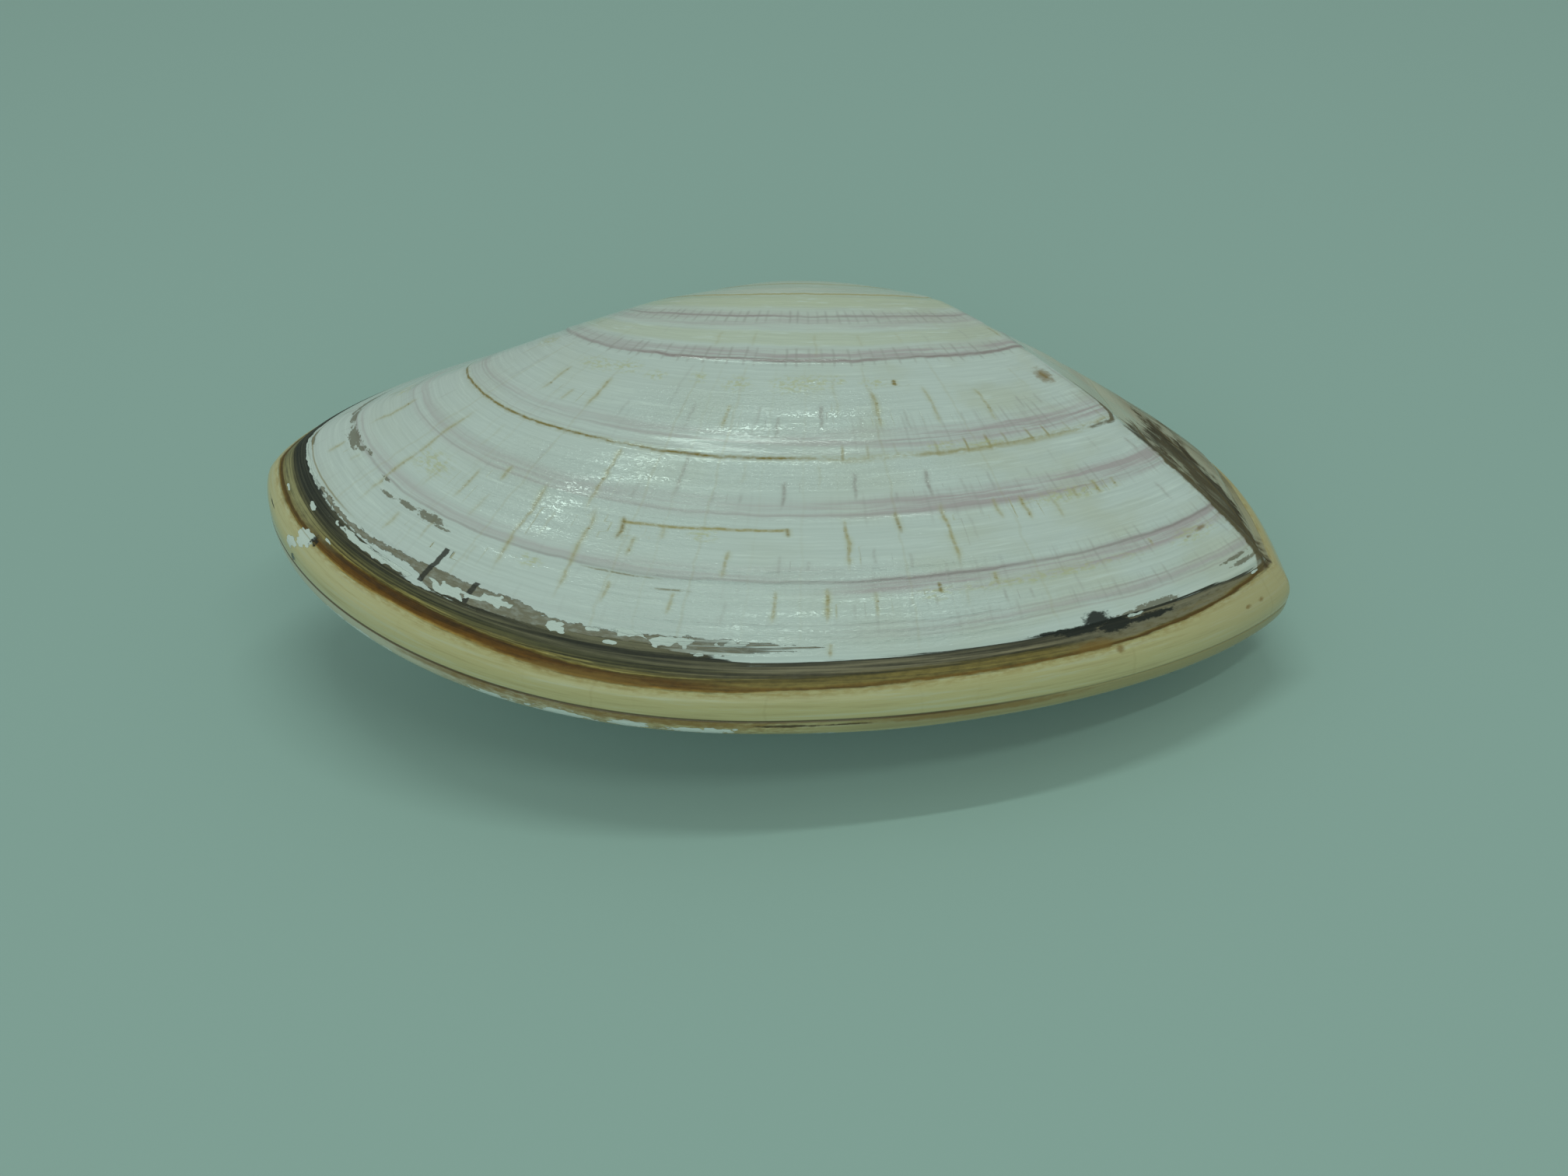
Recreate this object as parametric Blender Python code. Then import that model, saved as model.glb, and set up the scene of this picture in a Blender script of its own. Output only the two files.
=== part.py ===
"""Closed tellin shell: two solid-walled valves and the ligament that joins them.

The shell lies on its right valve. X runs along its length with the pointed
posterior end at +X, the lower margin of the valves faces -Y and the beaks +Y.
Every growth line of a valve is a smaller copy of its margin about the beak,
swung up about the hinge, which gives both the outline and the swelling.
"""
import math

import bmesh
import bpy
import numpy as np
from mathutils import Matrix, Vector
from mathutils.bvhtree import BVHTree

# Outline of a valve, in metres, from the beak
LENGTH = 0.0900
ANTERIOR_REACH = 0.0493
POSTERIOR_REACH = LENGTH - ANTERIOR_REACH
HEIGHT = 0.0521
ANTERIOR_DROP = 0.0231
POSTERIOR_DROP = 0.0376
VENTRAL_SHIFT = -0.0057
HINGE_DROP = 0.0010

# Fullness of the four quarters of the outline, as superellipse exponents
ANTERIOR_DORSAL = (2.20, 1.46)
ANTERIOR_VENTRAL = (2.09, 1.77)
POSTERIOR_VENTRAL = (2.21, 1.20)
POSTERIOR_DORSAL = (1.05, 3.00)

# Swelling of the valves: the swing about the hinge, in radians, grows as the shell gets smaller
SWING = 0.548
LARGEST_SWING = 1.9

# Blunt rim, lower at the hinge than on the open side, and tapered to a point at the beak
RIM_HEIGHT = 0.00305
RIM_HINGE_SHARE = 0.55
RIM_FULL_DEPTH = 0.60 * HEIGHT
RIM_START = 0.60
RIM_POWER = 4.38
BEAK_TAPER = 0.0060
BEAK_TAPER_SHARE = 0.30
BEAK_TAPER_POWER = 0.7

# Bend of the posterior end towards the right valve
BEND_DEPTH = 0.0017
BEND_START = 0.0090

# Wall of a valve and the gap between neighbouring pieces
WALL = 0.0022
RIM_WIDTH = 0.0022
HINGE_WIDTH = 0.0036
HINGE_DEPTH = 0.0120
INNER_EDGE_POWER = 7
HOLLOW_MIDDLE = 0.42 * HEIGHT
GAP = 0.0003

# Growth stops: size of the shell then, as a share of its length now, and step height
GROWTH_STOPS = ((0.467, 0.00014), (0.650, 0.00018), (0.842, 0.00010))
STOP_RISE = 0.0030
STOP_FALL = 0.0012
LINES_CROWDED = 0.8

# Groove between the disc and the rounded cream border
GROOVE_STAGE = 0.974
GROOVE_SHIFT = 0.021
GROOVE_SHIFT_START = 0.1250
GROOVE_SHIFT_LENGTH = 0.0400
GROOVE_DEPTH = 0.00040
GROOVE_WIDTH = 0.0008
BORDER_START = 0.90

# Posterior ridge, as a distance along the margin from the beak round the front
RIDGE_PLACE = 0.1620
RIDGE_CREST = 0.00025
RIDGE_HALF_WIDTH = 0.0018
TROUGH_DEPTH = 0.00095
TROUGH_WALL = 0.0028
TROUGH_WIDTH = 0.0095
TROUGH_RUN_OUT = 0.0070

# Resting attitude in degrees, and the worn flat that it rests on
TILT_FORWARD = 8.75
TILT_BACK_END = 3.35
REST_FLAT_DEPTH = 0.00032

# Ligament behind the beaks
LIGAMENT_START = 0.0022
LIGAMENT_LENGTH = 0.0180
LIGAMENT_HALF_WIDTH = 0.00180
LIGAMENT_HEIGHT = 0.00150
LIGAMENT_END = 0.22
LIGAMENT_LIFT = 0.0002
LIGAMENT_BELLY = 0.12
LIGAMENT_SECTIONS = 14
LIGAMENT_SIDES = 12

# Mesh fineness
MIDDLE_PLACE = 0.1140
ARC_STEPS = 240
STATIONS = 80
RIDGE_DENSITY = 1.1
RIDGE_DENSITY_WIDTH = 0.010
STAGE_STEP = 0.0008
PLACE_STEP = 0.00005
LAST_STAGE = 0.9995
STAGES = (0.05, 0.10, 0.16, 0.23, 0.30, 0.38, 0.452, 0.464, 0.470, 0.56, 0.630, 0.647,
          0.653, 0.73, 0.80, 0.842, 0.90, 0.945, 0.964, 0.974, 0.982, 0.990, 0.996,
          0.9992, 1.0)
INNER_RINGS = (1.0, 0.92, 0.75, 0.45)

SHELL_WHITE = (0.78, 0.79, 0.74, 1.0)
LIGAMENT_BROWN = (0.07, 0.035, 0.015, 1.0)


def smoothstep(value):
    """Ease from 0 to 1 as value goes from 0 to 1."""
    value = np.clip(value, 0.0, 1.0)
    return value * value * (3.0 - 2.0 * value)


def fade(value, rise_from, rise_to, fall_from, fall_to):
    """Window that eases up from 0 to 1 and later down to 0 again."""
    up = smoothstep((value - rise_from) / (rise_to - rise_from))
    return up * (1.0 - smoothstep((value - fall_from) / (fall_to - fall_from)))


def margin_curve():
    """Points of the valve's margin from the beak round the front end and back."""
    turn = np.linspace(0.0, np.pi / 2.0, ARC_STEPS)
    rise = np.sin(turn)
    fall = np.cos(turn)
    front_top = np.column_stack((
        -ANTERIOR_REACH * rise ** (2.0 / ANTERIOR_DORSAL[0]),
        -ANTERIOR_DROP + (ANTERIOR_DROP - HINGE_DROP) * fall ** (2.0 / ANTERIOR_DORSAL[1])))
    front_low = np.column_stack((
        VENTRAL_SHIFT - (ANTERIOR_REACH + VENTRAL_SHIFT) * fall ** (2.0 / ANTERIOR_VENTRAL[0]),
        -ANTERIOR_DROP - (HEIGHT - ANTERIOR_DROP) * rise ** (2.0 / ANTERIOR_VENTRAL[1])))
    back_low = np.column_stack((
        VENTRAL_SHIFT + (POSTERIOR_REACH - VENTRAL_SHIFT) * rise ** (2.0 / POSTERIOR_VENTRAL[0]),
        -POSTERIOR_DROP - (HEIGHT - POSTERIOR_DROP) * fall ** (2.0 / POSTERIOR_VENTRAL[1])))
    back_top = np.column_stack((
        POSTERIOR_REACH * fall ** (2.0 / POSTERIOR_DORSAL[0]),
        -POSTERIOR_DROP + (POSTERIOR_DROP - HINGE_DROP) * rise ** (2.0 / POSTERIOR_DORSAL[1])))
    return np.vstack((front_top, front_low[1:], back_low[1:], back_top[1:]))


def distances_along(points):
    """Distance of each point from the first one along the curve."""
    steps = np.linalg.norm(np.diff(points, axis=0), axis=1)
    return np.concatenate(((0.0,), np.cumsum(steps)))


def margin_at(places):
    """Margin points at the given distances along it."""
    curve = margin_curve()
    along = distances_along(curve)
    return np.column_stack((np.interp(places, along, curve[:, 0]),
                            np.interp(places, along, curve[:, 1])))


def station_places():
    """Distances along the margin of the mesh's columns, closer at the posterior ridge."""
    total = distances_along(margin_curve())[-1]
    fine = np.linspace(0.0, total, 2000)
    off_ridge = (fine - RIDGE_PLACE - TROUGH_WALL) / RIDGE_DENSITY_WIDTH
    density = 1.0 + RIDGE_DENSITY * np.exp(-off_ridge ** 2)
    filled = np.concatenate(((0.0,), np.cumsum(density[1:])))
    wanted = np.linspace(0.0, filled[-1], STATIONS + 1)[:-1]
    return np.interp(wanted, filled, fine)


def rim_profile(stages, margin):
    """Share of the rim's height: a blunt, rounded edge that tapers to a point at the beak."""
    reach = np.clip((stages - RIM_START) / (1.0 - RIM_START), 0.0, 1.0)
    blunt = np.clip(1.0 - reach ** RIM_POWER, 0.0, 1.0) ** (1.0 / RIM_POWER)
    radius = np.linalg.norm(margin, axis=1)
    low = smoothstep(-margin[:, 1] / RIM_FULL_DEPTH)
    taper = BEAK_TAPER + (radius * BEAK_TAPER_SHARE - BEAK_TAPER) * low
    return blunt * np.clip(stages * radius / taper, 0.0, 1.0) ** BEAK_TAPER_POWER


def plain_surface(places, stages):
    """Outer surface of the left valve before its relief, with the commissure at z = 0."""
    margin = margin_at(places)
    low = smoothstep(-margin[:, 1] / RIM_FULL_DEPTH)
    edge = RIM_HEIGHT * (RIM_HINGE_SHARE + (1.0 - RIM_HINGE_SHARE) * low)
    swing = np.clip(-SWING * np.log(np.clip(stages, 0.001, 1.0)), 0.0, LARGEST_SWING)
    x = stages * margin[:, 0]
    y = stages * margin[:, 1] * np.cos(swing)
    z = -stages * margin[:, 1] * np.sin(swing) + rim_profile(stages, margin) * edge
    return np.stack((x, y, z), axis=-1)


def growth_distance(stage):
    """Distance from the beak down the middle of the valve to a growth stage."""
    fine = np.linspace(0.0, 1.0, 1500)[:, None]
    middle = plain_surface(np.array((MIDDLE_PLACE,)), fine)[:, 0, :]
    return np.interp(stage, fine[:, 0], distances_along(middle))


def groove_stage(places):
    """Growth stage of the groove, which leaves a wider border at the posterior end."""
    return GROOVE_STAGE - GROOVE_SHIFT * smoothstep(
        (places - GROOVE_SHIFT_START) / GROOVE_SHIFT_LENGTH)


def line_spacing(places, stages):
    """Room between growth lines, from 0 where they crowd at the hinge to 1 on the disc."""
    stages = np.minimum(stages, LAST_STAGE)
    outer = plain_surface(places, stages)
    inner = plain_surface(places, stages - STAGE_STEP)
    beside = plain_surface(places + PLACE_STEP, stages) - outer
    beside /= np.maximum(np.linalg.norm(beside, axis=-1, keepdims=True), 1e-12)
    across = np.linalg.norm(np.cross(outer - inner, beside), axis=-1)
    return smoothstep(across / (STAGE_STEP * HEIGHT * LINES_CROWDED))


def relief(places, stages):
    """Height of the growth steps, the groove and the posterior ridge over the plain surface."""
    grown = growth_distance(stages)
    height = np.zeros_like(grown)
    for stage, step in GROWTH_STOPS:
        past = grown - growth_distance(stage)
        before = np.exp(np.minimum(past, 0.0) / STOP_RISE)
        after = -np.exp(-np.maximum(past, 0.0) / STOP_FALL)
        height += step * np.where(past < 0.0, before, after)
    from_groove = grown - growth_distance(groove_stage(places))
    height -= GROOVE_DEPTH * np.exp(-(from_groove / GROOVE_WIDTH) ** 2)
    beyond = places - RIDGE_PLACE
    crest = RIDGE_CREST * np.exp(-(beyond / RIDGE_HALF_WIDTH + 1.0) ** 2)
    into = smoothstep(beyond / TROUGH_WALL)
    out = smoothstep((beyond - TROUGH_WIDTH) / TROUGH_RUN_OUT)
    trough = -TROUGH_DEPTH * into * (1.0 - out)
    height += (crest + trough) * stages * fade(stages, 0.10, 0.45, 0.945, 0.975)
    return height * fade(stages, 0.12, 0.22, 0.990, 1.0) * line_spacing(places, stages)


def surface_normals(places, stages):
    """Outward unit normals of the plain surface."""
    stages = np.minimum(stages, LAST_STAGE - STAGE_STEP)
    up = plain_surface(places, stages + STAGE_STEP)
    down = plain_surface(places, stages - STAGE_STEP)
    after = plain_surface(places + PLACE_STEP, stages)
    before = plain_surface(places - PLACE_STEP, stages)
    normals = np.cross(after - before, down - up)
    size = np.linalg.norm(normals, axis=-1, keepdims=True)
    return normals / np.maximum(size, 1e-12)


def bend(points):
    """Bend the shell's posterior end towards the right valve."""
    share = np.clip((points[..., 0] - BEND_START) / (POSTERIOR_REACH - BEND_START), 0.0, 1.0)
    bent = points.copy()
    bent[..., 2] -= BEND_DEPTH * share ** 2
    return bent


def outer_grid(places):
    """Outer surface of the left valve as rows of growth stages by columns of stations."""
    stages = np.array(STAGES)[:, None]
    near_edge = np.clip((stages - BORDER_START) / (GROOVE_STAGE - BORDER_START), 0.0, 1.0)
    near_edge = near_edge * np.clip((1.0 - stages) / (1.0 - GROOVE_STAGE), 0.0, 1.0)
    stages = stages + near_edge * (groove_stage(places) - GROOVE_STAGE)
    grid = plain_surface(places, stages)
    return grid + surface_normals(places, stages) * relief(places, stages)[..., None]


def highest_point(tree, place):
    """Height of the outer surface above a point of the commissure plane."""
    hit = tree.ray_cast(Vector((place[0], place[1], 0.1)), Vector((0.0, 0.0, -1.0)))[0]
    return hit.z if hit else 0.0


def inner_rings(places, tree):
    """Rings of the inner surface, from the inner edge of the rim towards the middle."""
    margin = margin_at(places)
    middle = np.array((0.0, -HOLLOW_MIDDLE))
    ray = margin - middle
    reach = np.linalg.norm(ray, axis=1, keepdims=True)
    hinge = 1.0 - smoothstep(-margin[:, 1:2] / HINGE_DEPTH)
    width = RIM_WIDTH + (HINGE_WIDTH - RIM_WIDTH) * hinge
    edge = middle + ray * (1.0 - width / reach)
    edge_height = np.array([highest_point(tree, point) for point in edge]) - WALL
    rings = []
    for share in INNER_RINGS:
        ring = middle + (edge - middle) * share
        height = np.array([highest_point(tree, point) for point in ring]) - WALL
        height -= edge_height * share ** INNER_EDGE_POWER
        rings.append(np.column_stack((ring, height)))
    centre = np.array((middle[0], middle[1], highest_point(tree, middle) - WALL))
    return rings, centre


def grid_faces(rows, columns):
    """Quads of a grid whose columns close on themselves."""
    faces = []
    for row in range(rows - 1):
        for column in range(columns):
            after = (column + 1) % columns
            low = row * columns
            high = low + columns
            faces.append((low + column, low + after, high + after, high + column))
    return faces


def resting_matrix():
    """Turn of the shell from its hinge-level frame to the way it lies."""
    forward = Matrix.Rotation(math.radians(TILT_FORWARD), 4, "X")
    sideways = Matrix.Rotation(math.radians(TILT_BACK_END), 4, "Y")
    return sideways @ forward @ Matrix.Translation((0.0, HEIGHT / 2.0, 0.0))


def plain_material(name, colour, roughness):
    """Principled material with one colour."""
    material = bpy.data.materials.new(name)
    material.use_nodes = True
    shader = material.node_tree.nodes["Principled BSDF"]
    shader.inputs["Base Color"].default_value = colour
    shader.inputs["Roughness"].default_value = roughness
    shader.inputs["Metallic"].default_value = 0.0
    return material


def object_from(name, points, faces, material, sharp_angle):
    """Object with a closed mesh whose faces point outward."""
    mesh = bpy.data.meshes.new(name)
    mesh.from_pydata([tuple(point) for point in points], [], faces)
    work = bmesh.new()
    work.from_mesh(mesh)
    bmesh.ops.recalc_face_normals(work, faces=work.faces)
    work.to_mesh(mesh)
    work.free()
    mesh.materials.append(material)
    mesh.shade_smooth()
    mesh.set_sharp_from_angle(angle=math.radians(sharp_angle))
    thing = bpy.data.objects.new(name, mesh)
    bpy.context.collection.objects.link(thing)
    return thing


def valve(name, side, material):
    """One valve: side is 1 for the left valve, which lies on top, and -1 for the right."""
    places = station_places()
    outer = outer_grid(places)
    tip = np.zeros((1, 3))
    outer_points = outer.reshape(-1, 3)
    outer_faces = grid_faces(len(STAGES), STATIONS)
    tree = BVHTree.FromPolygons([Vector(point) for point in outer_points], outer_faces)
    rings, centre = inner_rings(places, tree)
    points = np.vstack([outer_points] + rings + [tip, centre[None, :]])
    faces = grid_faces(len(STAGES) + len(INNER_RINGS), STATIONS)
    last_ring = (len(STAGES) + len(INNER_RINGS) - 1) * STATIONS
    tip_index = len(points) - 2
    centre_index = len(points) - 1
    for column in range(STATIONS):
        after = (column + 1) % STATIONS
        faces.append((tip_index, after, column))
        faces.append((centre_index, last_ring + column, last_ring + after))
    points[:, 2] = side * (points[:, 2] + GAP / 2.0)
    return object_from(name, bend(points), faces, material, 40.0)


def ligament(material):
    """Arched band of ligament over the hinge, just behind the beaks."""
    total = distances_along(margin_curve())[-1]
    shares = np.linspace(0.0, 1.0, LIGAMENT_SECTIONS)
    places = total - LIGAMENT_START - LIGAMENT_LENGTH * shares
    centres = margin_at(places)
    ahead = margin_at(places - PLACE_STEP) - margin_at(places + PLACE_STEP)
    ahead /= np.linalg.norm(ahead, axis=1, keepdims=True)
    points = []
    for centre, run, share in zip(centres, ahead, shares):
        outward = np.array((-run[1], run[0]))
        swell = max(math.sin(math.pi * share ** 0.75), 0.0) ** 0.6
        taper = LIGAMENT_END + (1.0 - LIGAMENT_END) * swell
        for side in range(LIGAMENT_SIDES):
            angle = 2.0 * math.pi * (side + 0.5) / LIGAMENT_SIDES
            rise = LIGAMENT_HEIGHT * taper * max(math.sin(angle), -LIGAMENT_BELLY)
            lift = GAP + LIGAMENT_LIFT + rise
            across = LIGAMENT_HALF_WIDTH * taper * math.cos(angle)
            flat = centre + outward * lift
            points.append((flat[0], flat[1], across))
    faces = grid_faces(LIGAMENT_SECTIONS, LIGAMENT_SIDES)
    faces.append(tuple(range(LIGAMENT_SIDES)))
    last = (LIGAMENT_SECTIONS - 1) * LIGAMENT_SIDES
    faces.append(tuple(range(last + LIGAMENT_SIDES - 1, last - 1, -1)))
    return object_from("ligament", bend(np.array(points)), faces, material, 50.0)


def world_points(things):
    """All vertices of the given objects, as they lie."""
    return np.array([vertex.co for thing in things for vertex in thing.data.vertices])


def cut_rest_flat(thing, level):
    """Cut the belly off flat at the given height."""
    work = bmesh.new()
    work.from_mesh(thing.data)
    parts = work.verts[:] + work.edges[:] + work.faces[:]
    cut = bmesh.ops.bisect_plane(work, geom=parts, dist=1e-6, plane_co=(0.0, 0.0, level),
                                 plane_no=(0.0, 0.0, 1.0), clear_inner=True)
    ring = [item for item in cut["geom_cut"] if isinstance(item, bmesh.types.BMEdge)]
    bmesh.ops.contextual_create(work, geom=ring)
    bmesh.ops.recalc_face_normals(work, faces=work.faces)
    work.to_mesh(thing.data)
    work.free()
    thing.data.set_sharp_from_angle(angle=math.radians(40.0))


def build():
    """Build the shell and lay it down with its rest flat at z = 0."""
    for old in list(bpy.data.objects):
        bpy.data.objects.remove(old)
    shell = plain_material("shell", SHELL_WHITE, 0.35)
    brown = plain_material("ligament_brown", LIGAMENT_BROWN, 0.45)
    things = [valve("left_valve", 1.0, shell), valve("right_valve", -1.0, shell),
              ligament(brown)]
    for thing in things:
        thing.data.transform(resting_matrix())
    lowest = world_points(things)[:, 2].min()
    cut_rest_flat(things[1], lowest + REST_FLAT_DEPTH)
    placed = world_points(things)
    middle = (placed.min(axis=0) + placed.max(axis=0)) / 2.0
    shift = Matrix.Translation((-middle[0], -middle[1], -placed[:, 2].min()))
    for thing in things:
        thing.data.transform(shift)


build()
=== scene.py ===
"""Looks of the closed tellin shell: two valves and their ligament on a pale floor.

The valves are finely meshed copies of the frame's valves, grown by the same
rule: every growth line is a smaller copy of the margin about the beak, swung
up about the hinge. Their vertices carry how far the shell had grown there and
the place along the margin, and the shell material draws its lines from those.
"""
import math

import bpy
import numpy as np
from mathutils import Matrix, Vector
from mathutils.bvhtree import BVHTree


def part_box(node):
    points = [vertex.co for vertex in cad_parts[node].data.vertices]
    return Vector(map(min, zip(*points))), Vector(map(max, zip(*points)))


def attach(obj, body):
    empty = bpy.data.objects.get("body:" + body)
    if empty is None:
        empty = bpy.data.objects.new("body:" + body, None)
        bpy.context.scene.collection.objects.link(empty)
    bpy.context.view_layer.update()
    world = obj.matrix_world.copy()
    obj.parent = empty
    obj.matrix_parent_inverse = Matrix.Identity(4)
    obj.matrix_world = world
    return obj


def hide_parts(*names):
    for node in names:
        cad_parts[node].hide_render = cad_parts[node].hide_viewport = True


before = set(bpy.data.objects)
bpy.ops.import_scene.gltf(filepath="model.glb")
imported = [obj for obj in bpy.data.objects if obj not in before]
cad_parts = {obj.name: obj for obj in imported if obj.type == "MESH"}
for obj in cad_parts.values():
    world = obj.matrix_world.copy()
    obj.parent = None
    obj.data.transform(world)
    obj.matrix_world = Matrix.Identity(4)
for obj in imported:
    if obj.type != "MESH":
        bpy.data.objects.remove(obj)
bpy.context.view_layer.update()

MM = 0.001

# Outline of a valve, in metres, from the beak
LENGTH = 0.0900
ANTERIOR_REACH = 0.0493
POSTERIOR_REACH = LENGTH - ANTERIOR_REACH
HEIGHT = 0.0521
ANTERIOR_DROP = 0.0231
POSTERIOR_DROP = 0.0376
VENTRAL_SHIFT = -0.0057
HINGE_DROP = 0.0010

# Fullness of the four quarters of the outline, as superellipse exponents
ANTERIOR_DORSAL = (2.20, 1.46)
ANTERIOR_VENTRAL = (2.09, 1.77)
POSTERIOR_VENTRAL = (2.21, 1.20)
POSTERIOR_DORSAL = (1.05, 3.00)

# Swelling, blunt rim and posterior bend
SWING = 0.548
LARGEST_SWING = 1.9
RIM_HEIGHT = 0.00305
RIM_HINGE_SHARE = 0.55
RIM_FULL_DEPTH = 0.60 * HEIGHT
RIM_START = 0.60
RIM_POWER = 4.38
BEAK_TAPER = 0.0060
BEAK_TAPER_SHARE = 0.30
BEAK_TAPER_POWER = 0.7
BEND_DEPTH = 0.0017
BEND_START = 0.0090

# Inner side of a valve, the gap between the valves and the one under the ligament
WALL = 0.0022
RIM_WIDTH = 0.0022
HINGE_WIDTH = 0.0036
HINGE_DEPTH = 0.0120
INNER_EDGE_POWER = 7
HOLLOW_MIDDLE = 0.42 * HEIGHT
VALVE_GAP = 0.0001
GAP = 0.0003

# Resting attitude in degrees
TILT_FORWARD = 8.75
TILT_BACK_END = 3.35

# Growth stage where the cream border begins, by millimetres along the margin
BORDER_STAGES = ((0.0, 0.970), (58.0, 0.978), (80.0, 0.975), (89.0, 0.979), (96.0, 0.984), (102.0, 0.986),
                 (110.0, 0.985), (118.0, 0.982), (126.0, 0.979), (145.0, 0.976), (155.0, 0.967),
                 (160.5, 0.959), (168.0, 0.958), (224.0, 0.966))

# Growth stops, as millimetres grown and step height in millimetres
GROWTH_STOPS = ((14.7, 0.03), (18.7, 0.03), (25.0, 0.02), (29.65, 0.07), (40.5, 0.05),
                (46.4, 0.03), (52.0, 0.05), (56.4, 0.03), (58.35, 0.03))

# Posterior ridge, as a distance along the margin
RIDGE_PLACE = 0.1620
RIDGE_CREST = 0.00022
RIDGE_HALF_WIDTH = 0.0018
TROUGH_DEPTH = 0.00075
TROUGH_WALL = 0.0028
TROUGH_WIDTH = 0.0095
TROUGH_RUN_OUT = 0.0070

# Ligament behind the beaks
LIGAMENT_START = 0.0022
LIGAMENT_LENGTH = 0.0180
LIGAMENT_HALF_WIDTH = 0.00180
LIGAMENT_HEIGHT = 0.00150
LIGAMENT_END = 0.22
LIGAMENT_LIFT = 0.0002
LIGAMENT_BELLY = 0.12
LIGAMENT_SECTIONS = 160
LIGAMENT_SIDES = 96

# Camera, solved from the photo: aim point and distance as shares of the shell's length
IMAGE_WIDTH = 2016.0
FOCAL_PIXELS = 2198.5
CAMERA_AZIMUTH = -4.468
CAMERA_ELEVATION = 36.398
CAMERA_ROLL = -0.7425
CAMERA_DISTANCE = 1.6059 * LENGTH
AIM = Vector((-0.0507, -0.1416, 0.1378)) * LENGTH
FRAME_LIFT = 0.1378 * LENGTH

# Soft light, slightly green like the photo's
LIGHT_TINT = (0.77, 1.0, 0.885)

# Mesh fineness
ARC_STEPS = 400
COLUMNS = 288
MIDDLE_PLACE = 0.1140
STAGE_STEP = 0.0008
PLACE_STEP = 0.00005
LAST_STAGE = 0.9995
INNER_RINGS = (1.0, 0.97, 0.90, 0.75, 0.50, 0.25)


def smoothstep(value):
    """Ease from 0 to 1 as value goes from 0 to 1."""
    value = np.clip(value, 0.0, 1.0)
    return value * value * (3.0 - 2.0 * value)


def fade(value, rise_from, rise_to, fall_from, fall_to):
    """Window that eases up from 0 to 1 and later down to 0 again."""
    up = smoothstep((value - rise_from) / (rise_to - rise_from))
    return up * (1.0 - smoothstep((value - fall_from) / (fall_to - fall_from)))


def lattice_noise(x, y, seed):
    """Smooth noise from 0 to 1 over a plane whose cells are one unit wide."""
    table = np.random.default_rng(seed).random((256, 256))
    x, y = np.broadcast_arrays(x, y)
    column = np.floor(x).astype(int)
    row = np.floor(y).astype(int)
    across = smoothstep(x - column)
    up = smoothstep(y - row)
    low = table[row % 256, column % 256] * (1.0 - across) + table[row % 256, (column + 1) % 256] * across
    high = (table[(row + 1) % 256, column % 256] * (1.0 - across)
            + table[(row + 1) % 256, (column + 1) % 256] * across)
    return low * (1.0 - up) + high * up


def margin_curve():
    """Points of the valve's margin from the beak round the front end and back."""
    turn = np.linspace(0.0, np.pi / 2.0, ARC_STEPS)
    rise = np.sin(turn)
    fall = np.cos(turn)
    front_top = np.column_stack((
        -ANTERIOR_REACH * rise ** (2.0 / ANTERIOR_DORSAL[0]),
        -ANTERIOR_DROP + (ANTERIOR_DROP - HINGE_DROP) * fall ** (2.0 / ANTERIOR_DORSAL[1])))
    front_low = np.column_stack((
        VENTRAL_SHIFT - (ANTERIOR_REACH + VENTRAL_SHIFT) * fall ** (2.0 / ANTERIOR_VENTRAL[0]),
        -ANTERIOR_DROP - (HEIGHT - ANTERIOR_DROP) * rise ** (2.0 / ANTERIOR_VENTRAL[1])))
    back_low = np.column_stack((
        VENTRAL_SHIFT + (POSTERIOR_REACH - VENTRAL_SHIFT) * rise ** (2.0 / POSTERIOR_VENTRAL[0]),
        -POSTERIOR_DROP - (HEIGHT - POSTERIOR_DROP) * fall ** (2.0 / POSTERIOR_VENTRAL[1])))
    back_top = np.column_stack((
        POSTERIOR_REACH * fall ** (2.0 / POSTERIOR_DORSAL[0]),
        -POSTERIOR_DROP + (POSTERIOR_DROP - HINGE_DROP) * rise ** (2.0 / POSTERIOR_DORSAL[1])))
    return np.vstack((front_top, front_low[1:], back_low[1:], back_top[1:]))


def distances_along(points):
    """Distance of each point from the first one along the curve."""
    steps = np.linalg.norm(np.diff(points, axis=0), axis=1)
    return np.concatenate(((0.0,), np.cumsum(steps)))


CURVE = margin_curve()
CURVE_ALONG = distances_along(CURVE)
PERIMETER = CURVE_ALONG[-1]


def margin_at(places):
    """Margin points at the given distances along it."""
    return np.stack((np.interp(places, CURVE_ALONG, CURVE[:, 0]),
                     np.interp(places, CURVE_ALONG, CURVE[:, 1])), axis=-1)


def rim_profile(stages, margin):
    """Share of the rim's height: a blunt, rounded edge that tapers to a point at the beak."""
    reach = np.clip((stages - RIM_START) / (1.0 - RIM_START), 0.0, 1.0)
    blunt = np.clip(1.0 - reach ** RIM_POWER, 0.0, 1.0) ** (1.0 / RIM_POWER)
    radius = np.linalg.norm(margin, axis=-1)
    low = smoothstep(-margin[..., 1] / RIM_FULL_DEPTH)
    taper = BEAK_TAPER + (radius * BEAK_TAPER_SHARE - BEAK_TAPER) * low
    return blunt * np.clip(stages * radius / taper, 0.0, 1.0) ** BEAK_TAPER_POWER


def plain_surface(places, stages):
    """Outer surface of the left valve before its relief, with the commissure at z = 0."""
    margin = margin_at(places)
    low = smoothstep(-margin[..., 1] / RIM_FULL_DEPTH)
    edge = RIM_HEIGHT * (RIM_HINGE_SHARE + (1.0 - RIM_HINGE_SHARE) * low)
    swing = np.clip(-SWING * np.log(np.clip(stages, 0.001, 1.0)), 0.0, LARGEST_SWING)
    x = stages * margin[..., 0]
    y = stages * margin[..., 1] * np.cos(swing)
    z = -stages * margin[..., 1] * np.sin(swing) + rim_profile(stages, margin) * edge
    return np.stack((x, y, z), axis=-1)


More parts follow.
